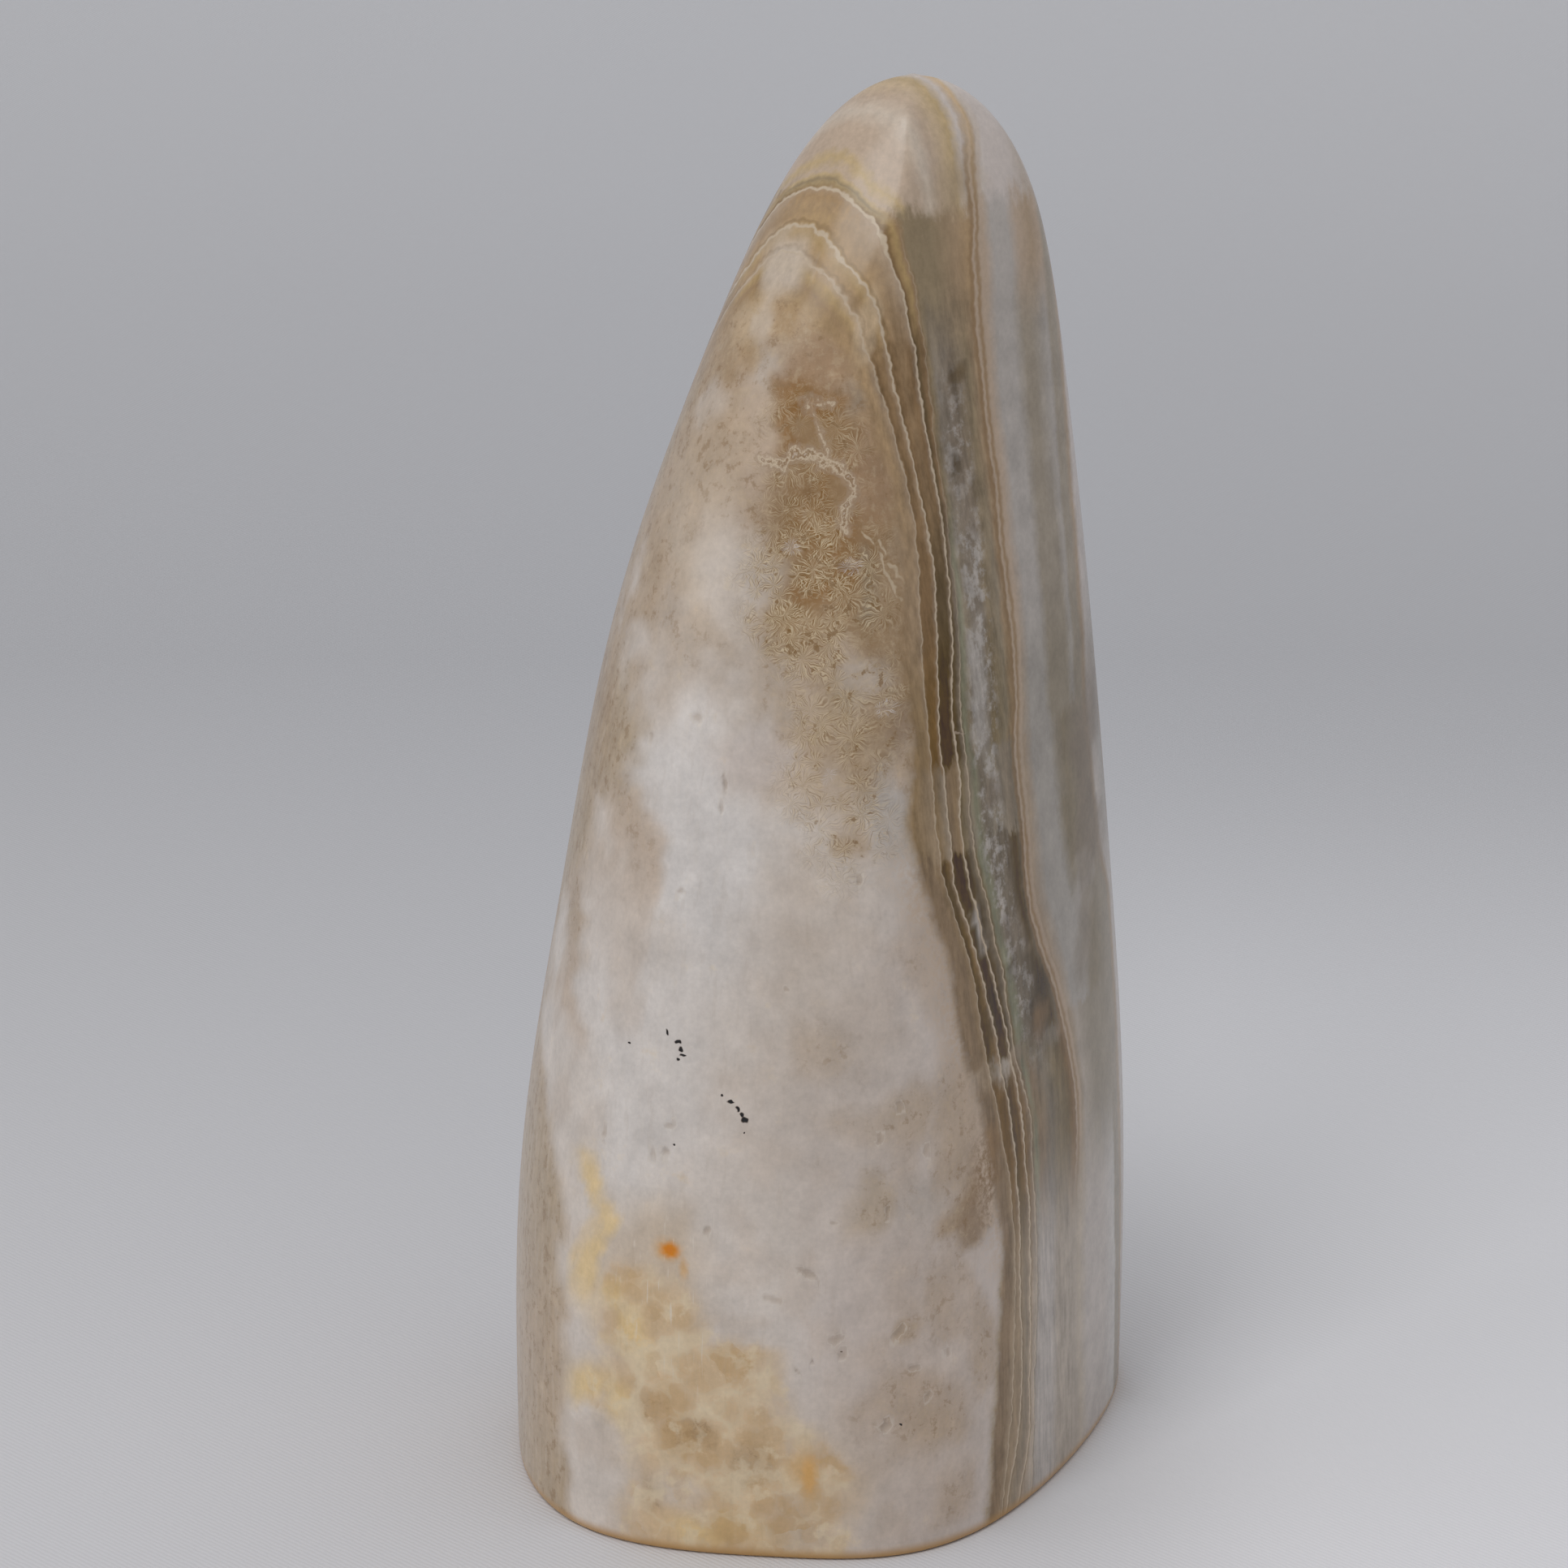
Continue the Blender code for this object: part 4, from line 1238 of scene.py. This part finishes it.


# %% [markdown]
# ## Putting the stone together
# The front and the bands are mixed where the growth begins. Last come the pits, a painted warm
# brown line along the foot, for the light that glows through the stone there and the contact shade
# where it stands, and the polish: a hard smooth shine that also greys the colour a little, which is
# taken off beforehand.

# %% The front and the bands
# how much the mottling and the streaks lighten and darken the colour
FRONT_UNEVEN = 0.30
BANDS_UNEVEN = 0.6
# the streaks stop where the bands behind the tan line begin
STREAKS_END = (1.1, 0.9)
# how far the zones' tops wander, in mm
TOPS_STREAKED = 3.0
TOPS_MOTTLED = 4.0
# painted shade: the bands, on the right side that the light hardly reaches, are darkened, less so in the
# upper half, and not at the tip
BAND_SHADE_FACTOR = (0.84, 0.85, 0.85)
BAND_SHADE = (0.030, 0.032, 0.038)
UPPER_SHADE_FACTOR = 0.95
UPPER_HALF = (82.0, 72.0)
TIP_CALM = (112.0, 100.0)
CALMEST = 0.35


def build_front(r, stone):
    front = r.scaled(stone.paint, r.plus(r.swing(stone.mottle, FRONT_UNEVEN), 1.0))
    front = add_flakes(r, front, stone)
    for size, strands in FANS:
        front = add_fans(r, front, stone, size, strands)
    for finish in (add_hollows, add_rosettes, add_veins, add_honey, add_grounds, add_spots):
        front = finish(r, front, stone)
    return front


def build_bands(r, stone):
    calm = r.rise(stone.height, *TIP_CALM)
    tops = r.plus(stone.height, r.swing(stone.streaks, TOPS_STREAKED))
    tops = r.plus(tops, r.swing(stone.mottle, TOPS_MOTTLED))
    bands = add_bands(r, stone.toothed, tops)
    # painted shade on the bands of the shaded right side
    shaded_bands = r.vector("SUBTRACT", r.vector("MULTIPLY", bands, BAND_SHADE_FACTOR), BAND_SHADE)
    shaded_bands = r.lay(r.scaled(bands, UPPER_SHADE_FACTOR), r.rise(stone.height, *UPPER_HALF), shaded_bands)
    bands = add_sugar(r, r.lay(bands, calm, shaded_bands), stone)
    bands = r.lay(bands, r.attribute("band_cloud_mask")["Fac"], r.attribute("band_cloud")["Vector"])
    streaked = r.swing(stone.streaks, r.rise(stone.level, *STREAKS_END))
    uneven = r.plus(r.swing(stone.mottle, BANDS_UNEVEN), streaked)
    uneven = r.times(uneven, r.plus(CALMEST, r.times(calm, 1.0 - CALMEST)))
    bands = add_tan_lines(r, r.scaled(bands, r.plus(uneven, 1.0)), stone)
    bands = add_cream_lines(r, bands, stone)
    crack = front_distance(r, stone.rough_place, CRACK)
    return r.lay(bands, r.rise(crack, *CRACK_EDGE), "wheat", 0.6)


# %% The polished stone
# the edge of growth, in mm across it: how far it wanders, and where its fringe and the bands begin
EDGE_WANDER = 2.2
LASH_STRETCH = (0.3, 0.3, 1.0)
LASH_NOISE = (0.3, 2.0)
FRINGE_BEGINS = (-4.5, -1.0)
FRINGE_HEIGHTS = (24.0, 62.0, 6.0)
BANDS_BEGIN = (-1.4, 0.3)
SPECKLE = 0.26
PIT_BROWN = (0.50, 0.40, 0.31)
PIT_RIM = (0.80, 0.72, 0.63)
RIM_SUNK = (0.06, 0.2, 0.06)
PIT_TINT = 0.4
FOOT_GLOW_AND_SHADE = (0.56, 0.33, 0.13)
FOOT_GLOW_TOP = (1.3, 0.2)
POLISH_VEIL = 0.038
VEIL_GAIN = 1.02
DARKEST = 0.01
STONE_IOR = 1.6
STONE_SHINE = 0.32
STONE_ROUGHNESS = 0.17
ROUGHER_GRAIN = 0.12


def join_front_and_bands(r, stone, front, bands):
    edge = r.plus(stone.edge, r.swing(stone.mottle, EDGE_WANDER))
    lashes = r.noise(r.vector("MULTIPLY", stone.place, LASH_STRETCH), *LASH_NOISE)
    edge = r.plus(edge, r.swing(lashes, r.rise(stone.mottle, 0.3, 0.8)))
    fringe = r.times(r.rise(edge, *FRINGE_BEGINS), r.between(stone.height, *FRINGE_HEIGHTS))
    front = r.lay(front, fringe, "wheat", r.rise(stone.grain, 0.35, 0.65))
    return r.lay(front, r.rise(edge, *BANDS_BEGIN), bands)


def build_aragonite():
    material = bpy.data.materials.new("banded_aragonite")
    material.use_nodes = True
    r = Recipe(material.node_tree)
    shader = material.node_tree.nodes["Principled BSDF"]
    stone = read_stone(r)
    colour = join_front_and_bands(r, stone, build_front(r, stone), build_bands(r, stone))
    colour = r.scaled(colour, r.plus(r.swing(stone.grain, SPECKLE), 1.0))
    hollow = r.attribute("hollow")["Fac"]
    colour = r.lay(colour, hollow, PIT_BROWN, PIT_TINT)
    colour = r.lay(colour, r.between(hollow, *RIM_SUNK), PIT_RIM, PIT_TINT)
    # painted light: a warm brown line along the foot, for light glowing through the stone and the contact
    # shade there
    colour = r.lay(colour, r.rise(stone.height, *FOOT_GLOW_TOP), FOOT_GLOW_AND_SHADE, 0.9)
    colour = r.scaled(r.vector("SUBTRACT", colour, (POLISH_VEIL,) * 3), VEIL_GAIN)
    r.feed(shader.inputs["Base Color"], r.vector("MAXIMUM", colour, (DARKEST,) * 3))
    r.feed(shader.inputs["Roughness"], r.plus(STONE_ROUGHNESS, r.times(stone.grain, ROUGHER_GRAIN)))
    r.feed(shader.inputs["IOR"], STONE_IOR)
    r.feed(shader.inputs["Specular IOR Level"], STONE_SHINE)
    print("aragonite:", len(material.node_tree.nodes), "nodes")
    return material


piece.data.materials.clear()
piece.data.materials.append(build_aragonite())
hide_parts("stone")
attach(piece, "root")
